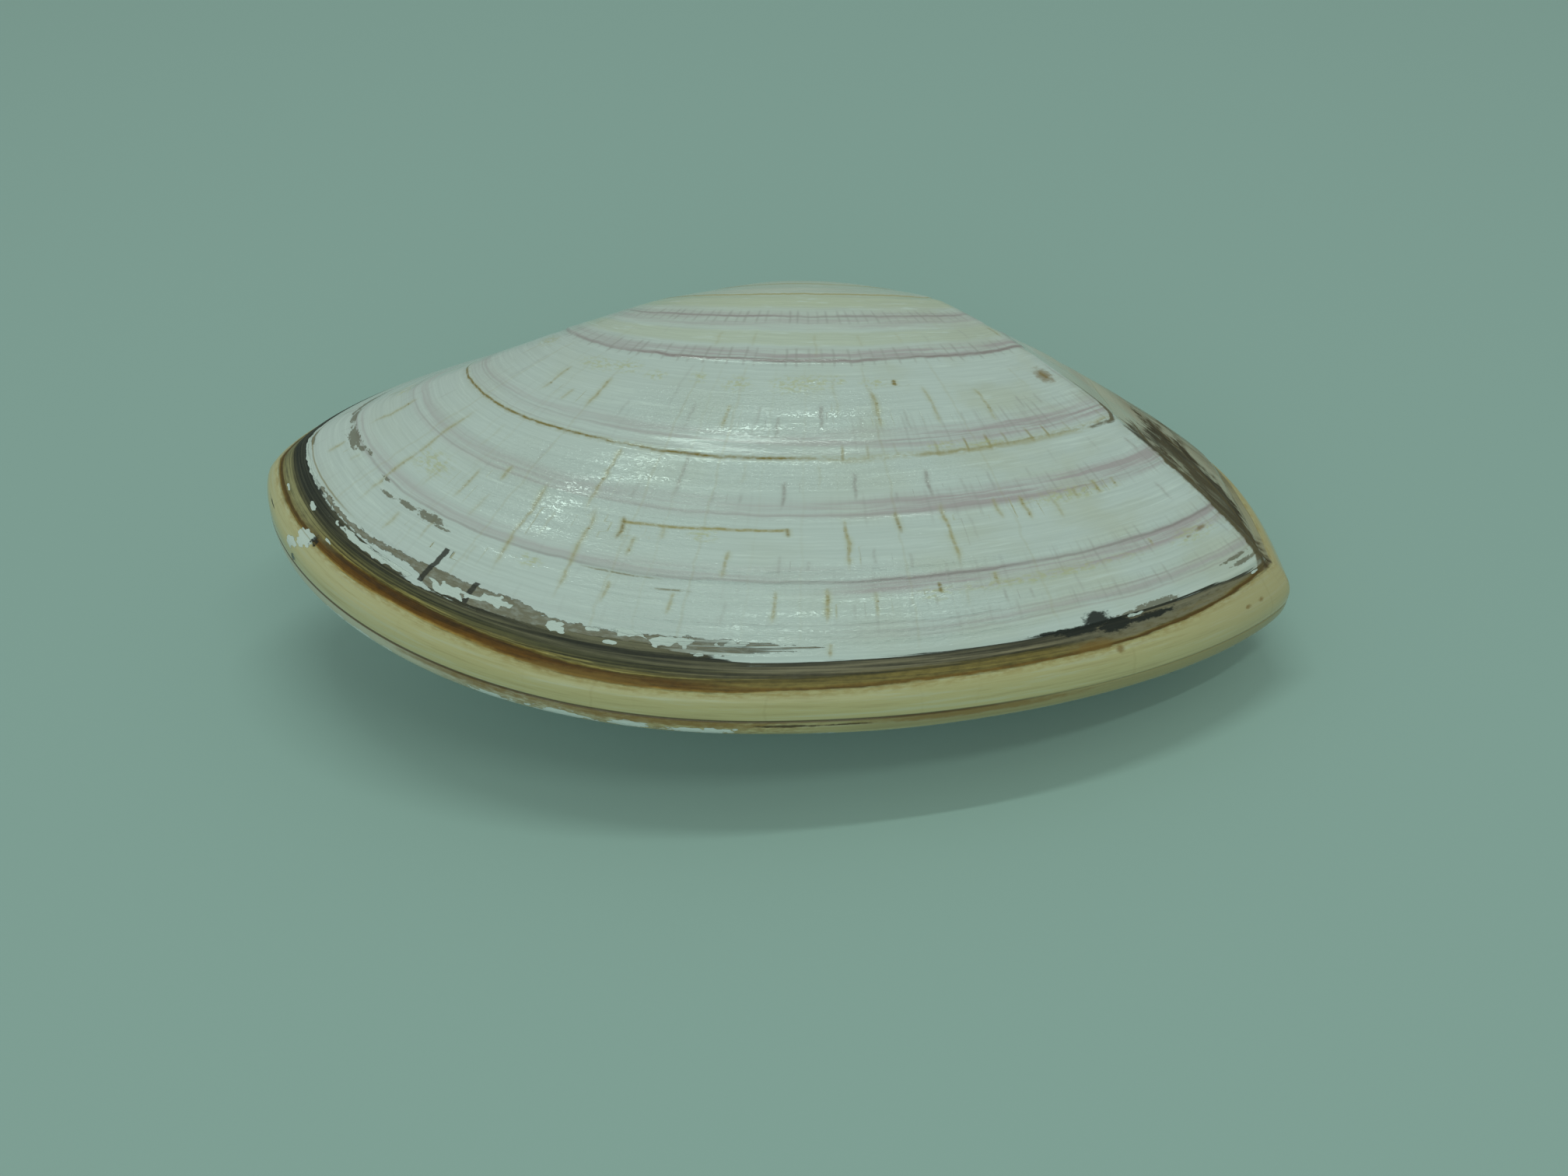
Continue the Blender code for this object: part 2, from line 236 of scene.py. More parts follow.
FINE_STAGES = np.concatenate((np.linspace(0.0, 0.96, 1600),
                              1.0 - 0.04 * np.linspace(1.0, 0.0, 600)[1:] ** 3))
MIDDLE_LINE = plain_surface(np.full(len(FINE_STAGES), MIDDLE_PLACE), FINE_STAGES)
FINE_GROWN = distances_along(MIDDLE_LINE) / MM
FULLY_GROWN = FINE_GROWN[-1]


def grown_at(stages):
    """Millimetres grown down the middle of the valve at a growth stage."""
    return np.interp(stages, FINE_STAGES, FINE_GROWN)


def stage_at(grown):
    """Growth stage after so many millimetres grown."""
    return np.interp(grown, FINE_GROWN, FINE_STAGES)


def border_grown(places):
    """Millimetres grown where the cream border begins."""
    stages = np.interp(places / MM, *zip(*BORDER_STAGES))
    return grown_at(stages)


def surface_frame(places, stages):
    """Outward unit normals of the plain surface and the room between its growth lines."""
    stages = np.minimum(stages, LAST_STAGE - STAGE_STEP)
    up = plain_surface(places, stages + STAGE_STEP)
    down = plain_surface(places, stages - STAGE_STEP)
    after = plain_surface(places + PLACE_STEP, stages)
    before = plain_surface(places - PLACE_STEP, stages)
    beside = after - before
    beside /= np.maximum(np.linalg.norm(beside, axis=-1, keepdims=True), 1e-12)
    normals = np.cross(beside, down - up)
    room = np.linalg.norm(normals, axis=-1, keepdims=True)
    normals = normals / np.maximum(room, 1e-12)
    return normals, smoothstep(room[..., 0] / (2.0 * STAGE_STEP * HEIGHT * 0.8))


def steps_of_growth(grown):
    """Raised edge before each growth stop and the drop after it, in millimetres."""
    height = np.zeros_like(grown)
    for stop, step in GROWTH_STOPS:
        past = grown - stop
        before = np.exp(np.minimum(past, 0.0) / 2.6)
        after = -np.exp(-np.maximum(past, 0.0) / 1.0)
        drop = smoothstep(past / 0.16 + 0.5)
        height += step * (before * (1.0 - drop) + after * drop)
    return height


def posterior_fold(along, stages):
    """Crest of the posterior ridge and the trough behind it, in millimetres."""
    beyond = (along - RIDGE_PLACE / MM)
    crest = RIDGE_CREST / MM * np.exp(-(beyond / (RIDGE_HALF_WIDTH / MM) + 1.0) ** 2)
    into = smoothstep(beyond / (TROUGH_WALL / MM))
    out = smoothstep((beyond - TROUGH_WIDTH / MM) / (TROUGH_RUN_OUT / MM))
    trough = -TROUGH_DEPTH / MM * into * (1.0 - out)
    return (crest + trough) * stages * fade(stages, 0.10, 0.45, 0.940, 0.972)


def relief(places, stages, seed):
    """Height of the sculpture over the plain surface, in metres."""
    along = places / MM
    grown = grown_at(stages)
    inside = border_grown(places) - grown
    height = steps_of_growth(grown)
    height -= 0.16 * np.exp(-((inside - 0.5) / 0.8) ** 2)
    height += posterior_fold(along, stages)
    streak = lattice_noise(along / 30.0, grown / 0.55, seed) - 0.5
    broad = lattice_noise(along / 45.0, grown / 1.7, seed + 1) - 0.5
    height += 0.035 * streak + 0.045 * broad
    height += 0.10 * (lattice_noise(along * stages / 11.0, grown / 8.0, seed + 2) - 0.5)
    layers = fade(inside, -0.2, 0.2, 1.9, 2.5)
    height += 0.07 * layers * (lattice_noise(along / 9.0, grown / 0.26, seed + 3) - 0.5)
    height *= fade(stages, 0.10, 0.22, 0.990, 1.0)
    return height * MM


def bend(points):
    """Bend the shell's posterior end towards the right valve."""
    share = np.clip((points[..., 0] - BEND_START) / (POSTERIOR_REACH - BEND_START), 0.0, 1.0)
    bent = points.copy()
    bent[..., 2] -= BEND_DEPTH * share ** 2
    return bent


def column_places():
    """Distances along the margin of the mesh's columns, closer on the open side."""
    fine = np.linspace(0.0, PERIMETER, 4000)
    along = fine / MM
    density = 0.45 + 0.55 * fade(along, 40.0, 52.0, 176.0, 190.0)
    density += 0.8 * np.exp(-((along - 164.0) / 6.0) ** 2)
    filled = np.concatenate(((0.0,), np.cumsum(density[1:])))
    wanted = np.linspace(0.0, filled[-1], COLUMNS + 1)[:-1]
    return np.interp(wanted, filled, fine)


def row_growths():
    """Millimetres grown at the mesh's rows, closer towards the margin."""
    return np.concatenate((np.arange(0.5, 15.0, 0.6), np.arange(15.0, 52.0, 0.19),
                           np.arange(52.0, 60.6, 0.12), np.linspace(60.6, FULLY_GROWN, 20)))


def outer_grid(places, seed):
    """Outer surface by rows of growth and columns along the margin, with both coordinates."""
    stages = stage_at(row_growths())[:, None] + np.zeros(len(places))
    stages[-1] = 1.0
    places = places[None, :] + np.zeros_like(stages)
    normals, room = surface_frame(places, stages)
    points = plain_surface(places, stages)
    points = points + normals * (relief(places, stages, seed) * room)[..., None]
    return points, places, stages


def highest_point(tree, place):
    """Height of the outer surface above a point of the commissure plane."""
    hit = tree.ray_cast(Vector((place[0], place[1], 0.1)), Vector((0.0, 0.0, -1.0)))[0]
    return hit.z if hit else 0.0


def inner_rings(places, tree):
    """Rings of the inner surface, from the inner edge of the rim towards the middle."""
    margin = margin_at(places)
    middle = np.array((0.0, -HOLLOW_MIDDLE))
    ray = margin - middle
    reach = np.linalg.norm(ray, axis=1, keepdims=True)
    hinge = 1.0 - smoothstep(-margin[:, 1:2] / HINGE_DEPTH)
    width = RIM_WIDTH + (HINGE_WIDTH - RIM_WIDTH) * hinge
    edge = middle + ray * (1.0 - width / reach)
    edge_height = np.array([highest_point(tree, point) for point in edge]) - WALL
    rings = []
    for share in INNER_RINGS:
        ring = middle + (edge - middle) * share
        height = np.array([highest_point(tree, point) for point in ring]) - WALL
        height -= edge_height * share ** INNER_EDGE_POWER
        rings.append(np.column_stack((ring, height)))
    centre = np.array((middle[0], middle[1], highest_point(tree, middle) - WALL))
    return rings, centre


def grid_faces(rows, columns, first=0):
    """Quads of a grid whose columns close on themselves."""
    faces = []
    for row in range(rows - 1):
        low = first + row * columns
        high = low + columns
        for column in range(columns):
            after = (column + 1) % columns
            faces.append((low + column, low + after, high + after, high + column))
    return faces


def resting_matrix():
    """Turn of the shell from its hinge-level frame to the way it lies."""
    forward = Matrix.Rotation(math.radians(TILT_FORWARD), 4, "X")
    sideways = Matrix.Rotation(math.radians(TILT_BACK_END), 4, "Y")
    return sideways @ forward @ Matrix.Translation((0.0, HEIGHT / 2.0, 0.0))


def crack_fields(along, grown, stages, cracks, seed):
    """Distance to the nearest radial crack, how strong it is there and its tone."""
    offset = np.full(along.shape, 9.0)
    strength = np.zeros(along.shape)
    tone = np.zeros(along.shape)
    wander = (lattice_noise(along / 40.0, grown / 2.2, seed) - 0.5) * 0.34
    wander += (lattice_noise(along / 12.0, grown / 0.6, seed + 1) - 0.5) * 0.16
    for place, start, end, weight, kind in cracks:
        aside = (along - place) * stages - wander
        run = (grown - start) / max(end - start, 0.8)
        ends = (-0.12, 0.15, 0.70, 1.12) if kind < 3 else (-0.04, 0.04, 0.96, 1.04)
        share = weight * fade(run, *ends)
        closer = (share > 0.0) & (np.abs(aside) < np.abs(offset))
        offset = np.where(closer, aside, offset)
        tone = np.where(closer, float(kind), tone)
        strength = np.where(closer, share, strength)
    return offset, np.where(np.abs(offset) < 1.3, strength, 0.0), tone


def guessed_cracks(seed, spans):
    """Radial cracks for the parts that the photo doesn't show, as place, start, end, weight, kind."""
    rng = np.random.default_rng(seed)
    cracks = []
    for low, high in spans:
        for start, end in CRACK_ZONES:
            place = low + rng.uniform(0.0, 4.0)
            while place < high:
                first = start + rng.uniform(0.0, 0.5) * (end - start)
                last = first + rng.uniform(0.35, 0.75) * (end - start)
                cracks.append((place, first, last, rng.uniform(0.3, 0.7), int(rng.integers(0, 2))))
                place += rng.uniform(3.0, 7.5) * 50.0 / (start + 5.0)
    return cracks


def faint_cracks(seed):
    """Faint radial cracks between the ones that stand out on the left valve."""
    cracks = []
    for place, first, last, weight, kind in guessed_cracks(seed, ((60.0, 156.0),)):
        beside = [crack for crack in LEFT_CRACKS
                  if abs(crack[0] - place) < 2.2 and crack[1] < last + 0.8 and crack[2] > first - 0.8]
        if not beside:
            cracks.append((place, first, last, 0.36 * weight, kind))
    return cracks


def blob_field(along, grown, blobs):
    """Soft blobs: 1 at their middle, 0 at their edge and below 0 outside."""
    field = np.full(along.shape, -1.0)
    for place, growth, reach_along, reach_across in blobs:
        apart = np.hypot((along - place) / reach_along, (grown - growth) / reach_across)
        field = np.maximum(field, 1.0 - apart)
    return field


def path_field(along, grown, path):
    """Stroke along a path of place, growth and half width: positive inside, in millimetres."""
    field = np.full(along.shape, -2.0)
    for (x0, y0, r0), (x1, y1, r1) in zip(path[:-1], path[1:]):
        run = np.array((x1 - x0, y1 - y0))
        share = ((along - x0) * run[0] + (grown - y0) * run[1]) / (run @ run)
        share = np.clip(share, 0.0, 1.0)
        apart = np.hypot(along - x0 - share * run[0], grown - y0 - share * run[1])
        field = np.maximum(field, r0 + (r1 - r0) * share - apart)
    return np.maximum(field, -2.0)


def table_at(table, along):
    """Value of a table of places and values, read between its rows."""
    places, values = zip(*table)
    return np.interp(along, places, values)


def mark_fields(places, stages, marks):
    """All fields that a shell material reads, by name."""
    along = places / MM
    grown = grown_at(stages)
    film = np.minimum(grown - table_at(marks["film_top"], along),
                      table_at(marks["film_foot"], along) - grown)
    offset, strength, tone = crack_fields(along, grown, stages, marks["cracks"], marks["seed"])
    stain = np.full(along.shape, -2.0)
    for path in marks["stains"]:
        stain = np.maximum(stain, path_field(along, grown, path))
    slope = table_at(marks["slope_top"], grown) - along
    return {
        "slope": slope, "grown": grown, "border": border_grown(places) - grown,
        "dark": grown - table_at(marks["dark_top"], along), "film": film,
        "crack_offset": offset, "crack_strength": strength, "crack_tone": tone,
        "chip": blob_field(along, grown, marks["chips"]), "scar": blob_field(along, grown, marks["scars"]),
        "patch": blob_field(along, grown, marks["patches"]), "rust": blob_field(along, grown, marks["rust"]),
        "blotch": blob_field(along, grown, marks["blotches"]), "stain": stain}


def place_attribute(mesh, name, values, domain="POINT"):
    """Store one number per vertex or per face corner on a mesh."""
    attribute = mesh.attributes.new(name, "FLOAT", domain)
    attribute.data.foreach_set("value", np.asarray(values, dtype=np.float32))


def valve(name, side, marks):
    """One finely meshed valve: side is 1 for the left valve and -1 for the right one."""
    places = column_places()
    outer, along, stages = outer_grid(places, marks["seed"])
    rows = outer.shape[0]
    outer_points = outer.reshape(-1, 3)
    tree = BVHTree.FromPolygons(outer_points.tolist(), grid_faces(rows, COLUMNS))
    rings, centre = inner_rings(places, tree)
    points = np.vstack([outer_points] + rings + [np.zeros((1, 3)), centre[None, :]])
    faces = grid_faces(rows + len(INNER_RINGS), COLUMNS)
    corners = [(column, column + 1, column + 1, column) for column in range(COLUMNS)]
    corners = corners * (rows + len(INNER_RINGS) - 1)
    last_ring = (rows + len(INNER_RINGS) - 1) * COLUMNS
    tip = len(points) - 2
    middle = len(points) - 1
    for column in range(COLUMNS):
        after = (column + 1) % COLUMNS
        faces.append((tip, after, column))
        corners.append((column, column + 1, column))
        faces.append((middle, last_ring + column, last_ring + after))
        corners.append((column, column, column + 1))
    points[:, 2] = side * (points[:, 2] + VALVE_GAP / 2.0)
    if side > 0:
        faces = [face[::-1] for face in faces]
        corners = [corner[::-1] for corner in corners]
    mesh = bpy.data.meshes.new(name)
    mesh.from_pydata(bend(points).tolist(), [], faces)
    mesh.transform(resting_matrix())
    for field, values in mark_fields(along, stages, marks).items():
        rest = np.tile(values[-1], len(INNER_RINGS))
        place_attribute(mesh, field, np.concatenate((values.ravel(), rest, (values[0, 0], values[-1, 0]))))
    inner = np.zeros(len(points))
    inner[len(outer_points):tip] = 1.0
    inner[middle] = 1.0
    place_attribute(mesh, "inner", inner)
    extended = np.append(places, PERIMETER) / MM
    place_attribute(mesh, "along", extended[np.concatenate(corners)], "CORNER")
    mesh.shade_smooth()
    thing = bpy.data.objects.new(name, mesh)
    bpy.context.collection.objects.link(thing)
    return thing


def ligament(name):
    """Arched band of ligament over the hinge, just behind the beaks, with its fibres."""
    shares = np.linspace(0.0, 1.0, LIGAMENT_SECTIONS)
    places = PERIMETER - LIGAMENT_START - LIGAMENT_LENGTH * shares
    centres = margin_at(places)
    ahead = margin_at(places - PLACE_STEP) - margin_at(places + PLACE_STEP)
    ahead /= np.linalg.norm(ahead, axis=1, keepdims=True)
    outward = np.column_stack((-ahead[:, 1], ahead[:, 0]))
    swell = np.clip(np.sin(np.pi * shares ** 0.75), 0.0, 1.0) ** 0.6
    taper = LIGAMENT_END + (1.0 - LIGAMENT_END) * swell
    angle = 2.0 * np.pi * (np.arange(LIGAMENT_SIDES) + 0.5) / LIGAMENT_SIDES
    fibre = lattice_noise(angle[None, :] * 9.0, shares[:, None] * 7.0, 71) - 0.5
    fold = lattice_noise(angle[None, :] * 1.0, shares[:, None] * 24.0, 72) - 0.5
    rough = 1.0 + 0.10 * fibre + 0.06 * fold
    rise = LIGAMENT_HEIGHT * taper[:, None] * np.maximum(np.sin(angle), -LIGAMENT_BELLY)[None, :] * rough
    lift = GAP + LIGAMENT_LIFT + rise
    across = LIGAMENT_HALF_WIDTH * taper[:, None] * np.cos(angle)[None, :] * (1.0 + 0.04 * fibre)
    flat = centres[:, None, :] + outward[:, None, :] * lift[..., None]
    points = np.concatenate((flat, across[..., None]), axis=-1).reshape(-1, 3)
    faces = grid_faces(LIGAMENT_SECTIONS, LIGAMENT_SIDES)
    faces.append(tuple(range(LIGAMENT_SIDES)))
    last = (LIGAMENT_SECTIONS - 1) * LIGAMENT_SIDES
    faces.append(tuple(range(last + LIGAMENT_SIDES - 1, last - 1, -1)))
    mesh = bpy.data.meshes.new(name)
    mesh.from_pydata(bend(points).tolist(), [], faces)
    mesh.transform(resting_matrix())
    ones = np.ones(LIGAMENT_SIDES)
    place_attribute(mesh, "along", np.outer(shares, ones).ravel() * LIGAMENT_LENGTH / MM)
    place_attribute(mesh, "around", np.tile(angle, LIGAMENT_SECTIONS))
    mesh.shade_smooth()
    mesh.set_sharp_from_angle(angle=math.radians(60.0))
    thing = bpy.data.objects.new(name, mesh)
    bpy.context.collection.objects.link(thing)
    return thing


# Marks are given by their place along the margin and the millimetres grown there
CRACK_ZONES = ((24.0, 28.5), (30.0, 37.8), (41.0, 45.2), (46.4, 51.4), (52.4, 55.4))

# Radial cracks of the left valve: place, start, end, weight and kind (0 grey, 1 tan, 2 ochre)
LEFT_CRACKS = [
    (60.1, 46.0, 50.4, 0.6, 1), (60.6, 53.4, 55.2, 0.5, 1), (69.1, 43.0, 54.8, 0.6, 1),
    (73.8, 33.5, 37.2, 0.5, 1), (73.9, 53.7, 55.8, 0.4, 1), (77.5, 46.9, 50.1, 0.5, 1),
    (77.7, 52.4, 54.7, 0.4, 1), (78.4, 35.9, 37.5, 0.4, 1), (80.7, 45.4, 47.0, 0.6, 1),
    (82.8, 33.7, 37.4, 0.6, 1), (86.1, 46.0, 54.4, 0.6, 1), (88.3, 35.7, 37.8, 0.3, 0),
    (91.7, 40.8, 47.1, 0.6, 1), (92.8, 47.4, 55.0, 0.6, 1), (95.9, 43.9, 45.7, 0.3, 0),
    (97.1, 53.0, 54.9, 0.6, 1), (97.8, 48.9, 50.7, 0.5, 1), (98.5, 35.1, 38.3, 0.4, 0),
    (100.4, 40.4, 45.1, 0.5, 0), (100.4, 47.5, 48.8, 0.4, 1), (103.2, 53.3, 55.1, 0.6, 1),
    (103.7, 35.1, 37.7, 0.6, 1), (104.8, 43.9, 45.1, 0.3, 0), (107.5, 49.4, 51.7, 0.7, 1),
    (107.9, 44.1, 45.0, 0.3, 0), (108.4, 35.0, 37.5, 0.3, 0), (111.4, 36.2, 38.7, 0.6, 0),
    (112.7, 52.8, 55.4, 0.7, 1), (112.8, 42.9, 45.4, 0.8, 0), (112.8, 49.7, 51.6, 0.3, 0),
    (115.7, 50.1, 51.1, 0.3, 0), (117.6, 52.7, 55.4, 0.9, 1), (117.7, 34.9, 37.5, 0.8, 0),
    (117.8, 57.2, 58.4, 0.5, 1), (119.8, 46.7, 50.9, 0.8, 1), (120.1, 54.0, 55.3, 0.3, 0),
    (121.2, 42.1, 44.7, 0.7, 0), (122.2, 53.1, 55.2, 0.6, 1), (122.4, 49.2, 50.8, 0.4, 0),
    (123.4, 36.3, 37.6, 0.3, 0), (125.7, 46.1, 48.0, 0.7, 2), (126.0, 44.1, 45.2, 0.4, 0),
    (126.1, 49.9, 51.3, 0.4, 0), (126.3, 33.3, 37.6, 0.7, 1), (127.9, 53.8, 54.8, 0.3, 0),
    (128.5, 52.6, 53.6, 0.9, 2), (130.2, 42.2, 44.9, 0.9, 0), (130.4, 35.9, 37.9, 0.4, 0),
    (131.0, 45.9, 51.3, 0.8, 1), (134.3, 52.3, 53.5, 0.7, 1), (134.4, 43.4, 45.1, 0.3, 0),
    (134.6, 53.9, 55.2, 0.5, 0), (135.2, 33.3, 37.8, 0.5, 1), (137.2, 54.2, 55.2, 0.4, 0),
    (137.4, 45.7, 47.7, 0.6, 1), (138.0, 43.0, 44.9, 0.4, 0), (139.0, 36.5, 37.8, 0.3, 0),
    (140.6, 45.9, 48.2, 0.8, 1), (143.2, 43.2, 44.2, 0.3, 0), (143.8, 34.2, 38.0, 0.6, 1),
    (144.3, 46.7, 48.7, 0.4, 1), (147.5, 46.1, 47.1, 0.8, 1), (149.6, 35.5, 37.2, 0.4, 0),
    (150.6, 45.8, 47.2, 0.8, 1), (152.2, 52.4, 53.2, 0.6, 1), (153.1, 35.6, 37.0, 0.4, 0),
    (153.2, 46.0, 47.1, 0.5, 1), (96.1, 47.3, 49.3, 0.9, 2), (113.5, 47.2, 48.0, 0.8, 2),
    (92.8, 47.6, 48.5, 2.0, 2), (130.8, 32.1, 32.8, 1.3, 2), (158.7, 33.3, 34.4, 0.7, 2),
    (81.0, 54.4, 57.7, 2.2, 3), (85.8, 56.0, 57.9, 2.0, 3), (92.5, 60.9, 61.9, 1.2, 3)]

# Marks of the left valve: blobs are place, growth, reach along the margin and reach across it
LEFT_MARKS = {
    "seed": 11,
    "cracks": LEFT_CRACKS + guessed_cracks(5, ((2.0, 56.0), (158.0, 222.0))) + faint_cracks(9),
    "dark_top": ((0.0, 57.1), (60.0, 57.0), (65.0, 57.15), (70.0, 57.3), (77.0, 57.6), (80.0, 58.15),
                 (84.0, 57.9), (89.0, 57.75), (95.0, 57.7), (102.0, 57.5), (106.0, 58.05),
                 (111.0, 58.75), (126.0, 58.4), (135.0, 58.45), (142.0, 58.3), (149.0, 58.2),
                 (155.0, 58.15), (161.0, 58.6), (224.0, 58.4)),
    "film_top": ((0.0, 57.4), (62.0, 57.3), (66.0, 56.75), (68.0, 56.85), (73.0, 56.8), (78.0, 56.35),
                 (82.0, 56.2), (90.0, 56.3), (93.0, 56.9), (100.0, 57.1), (105.0, 56.8), (110.0, 56.9),
                 (116.0, 57.4), (120.0, 58.0), (224.0, 58.0)),
    "film_foot": ((0.0, 57.0), (64.0, 57.0), (68.0, 57.25), (73.0, 57.25), (78.0, 56.9), (80.0, 57.1),
                  (82.0, 58.0), (108.0, 58.2), (112.0, 57.9), (118.0, 57.5), (224.0, 57.0)),
    "chips": ((83.6, 57.45, 2.0, 0.55), (88.2, 56.95, 1.5, 0.5), (85.9, 57.2, 1.3, 0.16),
              (94.3, 57.55, 1.0, 0.5), (99.0, 57.95, 1.0, 0.2), (100.3, 57.0, 1.4, 0.35),
              (103.6, 57.3, 1.7, 0.45), (105.3, 57.25, 0.8, 0.45), (106.7, 58.2, 0.6, 0.2),
              (109.3, 57.2, 1.4, 0.3), (97.3, 57.1, 1.0, 0.25), (75.2, 57.75, 5.6, 0.34),
              (60.5, 57.1, 6.0, 0.26), (68.2, 60.7, 1.1, 1.0), (67.0, 61.9, 0.8, 0.6),
              (66.0, 58.5, 0.7, 0.3), (70.5, 59.4, 0.5, 0.16), (61.5, 59.8, 0.5, 0.18),
              (160.8, 58.9, 0.9, 0.12), (146.2, 58.4, 1.2, 0.16)),
    "scars": ((142.3, 58.0, 1.5, 0.85), (143.8, 58.8, 2.3, 0.65), (140.4, 58.6, 2.6, 0.42),
              (147.5, 58.85, 3.2, 0.34), (69.2, 60.3, 0.5, 0.7), (67.8, 63.2, 0.5, 0.6),
              (138.0, 58.35, 2.6, 0.18), (61.5, 61.9, 1.4, 0.10)),
    "patches": ((56.6, 52.4, 1.8, 0.45), (57.0, 56.6, 1.8, 0.28),
                (60.8, 52.5, 2.4, 0.8), (63.2, 52.2, 0.9, 0.4), (64.6, 51.8, 1.0, 0.22),
                (69.4, 52.2, 0.9, 0.2), (71.2, 53.1, 1.2, 0.24), (74.0, 52.8, 1.7, 0.3),
                (77.2, 52.7, 2.0, 0.5), (79.1, 53.0, 1.4, 0.15), (53.0, 52.9, 3.4, 0.5),
                (148.6, 58.0, 3.0, 0.36), (146.5, 58.2, 2.6, 0.26),
                (160.5, 57.6, 2.6, 0.22), (159.6, 57.0, 2.4, 0.18)),
    "rust": ((141.2, 60.1, 3.0, 0.65), (143.4, 60.8, 0.6, 0.6), (158.6, 53.3, 0.9, 0.35),
             (156.6, 53.6, 0.5, 0.2), (159.4, 61.2, 0.6, 0.3), (157.6, 61.3, 0.5, 0.25),
             (98.0, 60.8, 8.0, 0.5), (158.6, 33.8, 2.1, 1.4)),
    "blotches": ((77.8, 32.2, 4.5, 1.2), (83.4, 31.8, 4.0, 1.2), (89.7, 32.3, 2.4, 0.9),
                 (97.1, 32.1, 2.0, 0.9), (103.9, 32.5, 3.4, 1.2), (113.1, 32.5, 5.0, 1.4),
                 (116.6, 32.2, 4.0, 1.3), (121.0, 31.9, 2.0, 0.8), (127.0, 32.4, 3.0, 0.8),
                 (61.1, 31.8, 3.6, 1.4), (71.8, 48.5, 3.6, 1.6), (89.0, 52.8, 1.6, 0.8),
                 (134.0, 39.8, 4.0, 0.5), (140.0, 40.1, 4.0, 0.5), (55.5, 47.3, 2.0, 1.2),
                 (147.0, 46.6, 8.0, 0.9), (140.0, 53.4, 14.0, 0.6), (157.4, 53.5, 4.0, 1.0),
                 (104.8, 48.0, 1.9, 0.9), (104.6, 48.3, 0.9, 0.5), (128.0, 53.6, 2.0, 0.8)),
    "slope_top": ((34.0, 146.0), (40.0, 158.0), (41.5, 165.0), (44.0, 172.0), (48.0, 178.0),
                  (52.0, 179.0), (56.0, 173.5), (58.5, 168.0), (60.0, 164.0)),
    "stains": (((165.0, 30.5, 0.2), (164.6, 33.0, 0.9), (164.1, 36.0, 1.2), (163.5, 38.4, 0.8),
                (162.2, 40.1, 0.42), (161.3, 40.8, 0.34), (156.5, 40.65, 0.12)),
               ((169.5, 43.4, 0.05), (164.4, 44.6, 0.7), (162.9, 46.9, 0.8), (164.6, 49.5, 1.0)),
               ((163.6, 48.0, 1.0), (163.8, 50.0, 1.3), (163.8, 53.0, 1.3), (163.4, 56.0, 1.0),
                (162.8, 58.0, 0.8), (161.6, 58.9, 0.4)),
               ((176.0, 46.0, 0.1), (174.0, 49.5, 0.35), (170.6, 53.0, 0.45), (167.4, 56.6, 0.45),
                (164.6, 58.6, 0.4)))}

# Marks of the right valve, seen in the photo only along its rim and in the reflection
RIGHT_MARKS = {
    "seed": 23,
    "cracks": guessed_cracks(17, ((2.0, 222.0),)) + [
        (104.6, 61.2, 63.2, 1.4, 3), (99.4, 62.0, 63.2, 1.0, 2), (92.6, 62.0, 63.2, 1.2, 3),
        (111.6, 61.6, 63.2, 1.2, 2), (86.0, 62.2, 63.2, 1.0, 2)],
    "dark_top": ((0.0, 57.6), (60.0, 57.4), (80.0, 57.9), (100.0, 58.1), (118.0, 58.2), (130.0, 58.0),
                 (150.0, 57.9), (163.0, 58.2), (224.0, 58.4)),
    "film_top": ((0.0, 57.8), (70.0, 57.8), (96.0, 57.6), (108.0, 56.9), (118.0, 57.1), (126.0, 56.7),
                 (138.0, 56.8), (150.0, 57.5), (224.0, 58.0)),
    "film_foot": ((0.0, 57.4), (92.0, 57.6), (104.0, 58.2), (146.0, 58.3), (156.0, 57.8), (224.0, 57.4)),
    "chips": ((96.2, 62.3, 2.6, 0.7), (101.8, 62.5, 2.0, 0.6), (107.6, 62.4, 3.0, 0.6),
              (90.0, 62.2, 2.0, 0.6), (76.0, 62.0, 5.0, 0.8),
              (121.0, 60.9, 2.2, 0.5), (118.0, 61.6, 1.4, 0.4), (128.0, 57.3, 1.6, 0.4),
              (136.0, 57.4, 1.8, 0.35), (112.0, 57.4, 1.4, 0.35), (68.0, 61.4, 2.6, 0.6)),
    "scars": ((114.6, 63.25, 3.6, 0.16), (119.5, 63.3, 2.6, 0.12)),
    "patches": ((114.0, 56.8, 3.0, 0.4), (121.0, 56.4, 1.8, 0.5), (127.0, 55.9, 1.6, 0.3),
                (134.0, 56.5, 2.4, 0.4), (106.0, 56.9, 1.6, 0.25), (60.0, 52.6, 2.0, 0.4)),
    "rust": ((104.0, 63.4, 16.0, 0.6), (88.0, 63.4, 10.0, 0.5), (130.0, 63.4, 14.0, 0.5),
             (70.0, 60.6, 10.0, 0.5)),
    "blotches": ((70.0, 33.0, 6.0, 2.0), (95.0, 36.0, 5.0, 1.6), (120.0, 33.0, 6.0, 1.6),
                 (145.0, 47.0, 8.0, 1.4), (85.0, 50.0, 6.0, 1.4)),
    "slope_top": ((34.0, 146.0), (40.0, 156.0), (44.0, 168.0), (50.0, 174.0), (58.5, 168.0), (60.0, 164.0)),
    "stains": (((106.2, 60.0, 0.10), (105.2, 61.2, 0.16), (104.0, 62.0, 0.20), (104.4, 63.4, 0.16)),
               ((104.4, 61.8, 0.14), (100.4, 62.6, 0.12), (98.6, 63.2, 0.10)),
               ((165.4, 48.0, 1.2), (165.8, 52.0, 1.8), (164.4, 56.0, 1.2), (163.0, 58.2, 0.8)))}


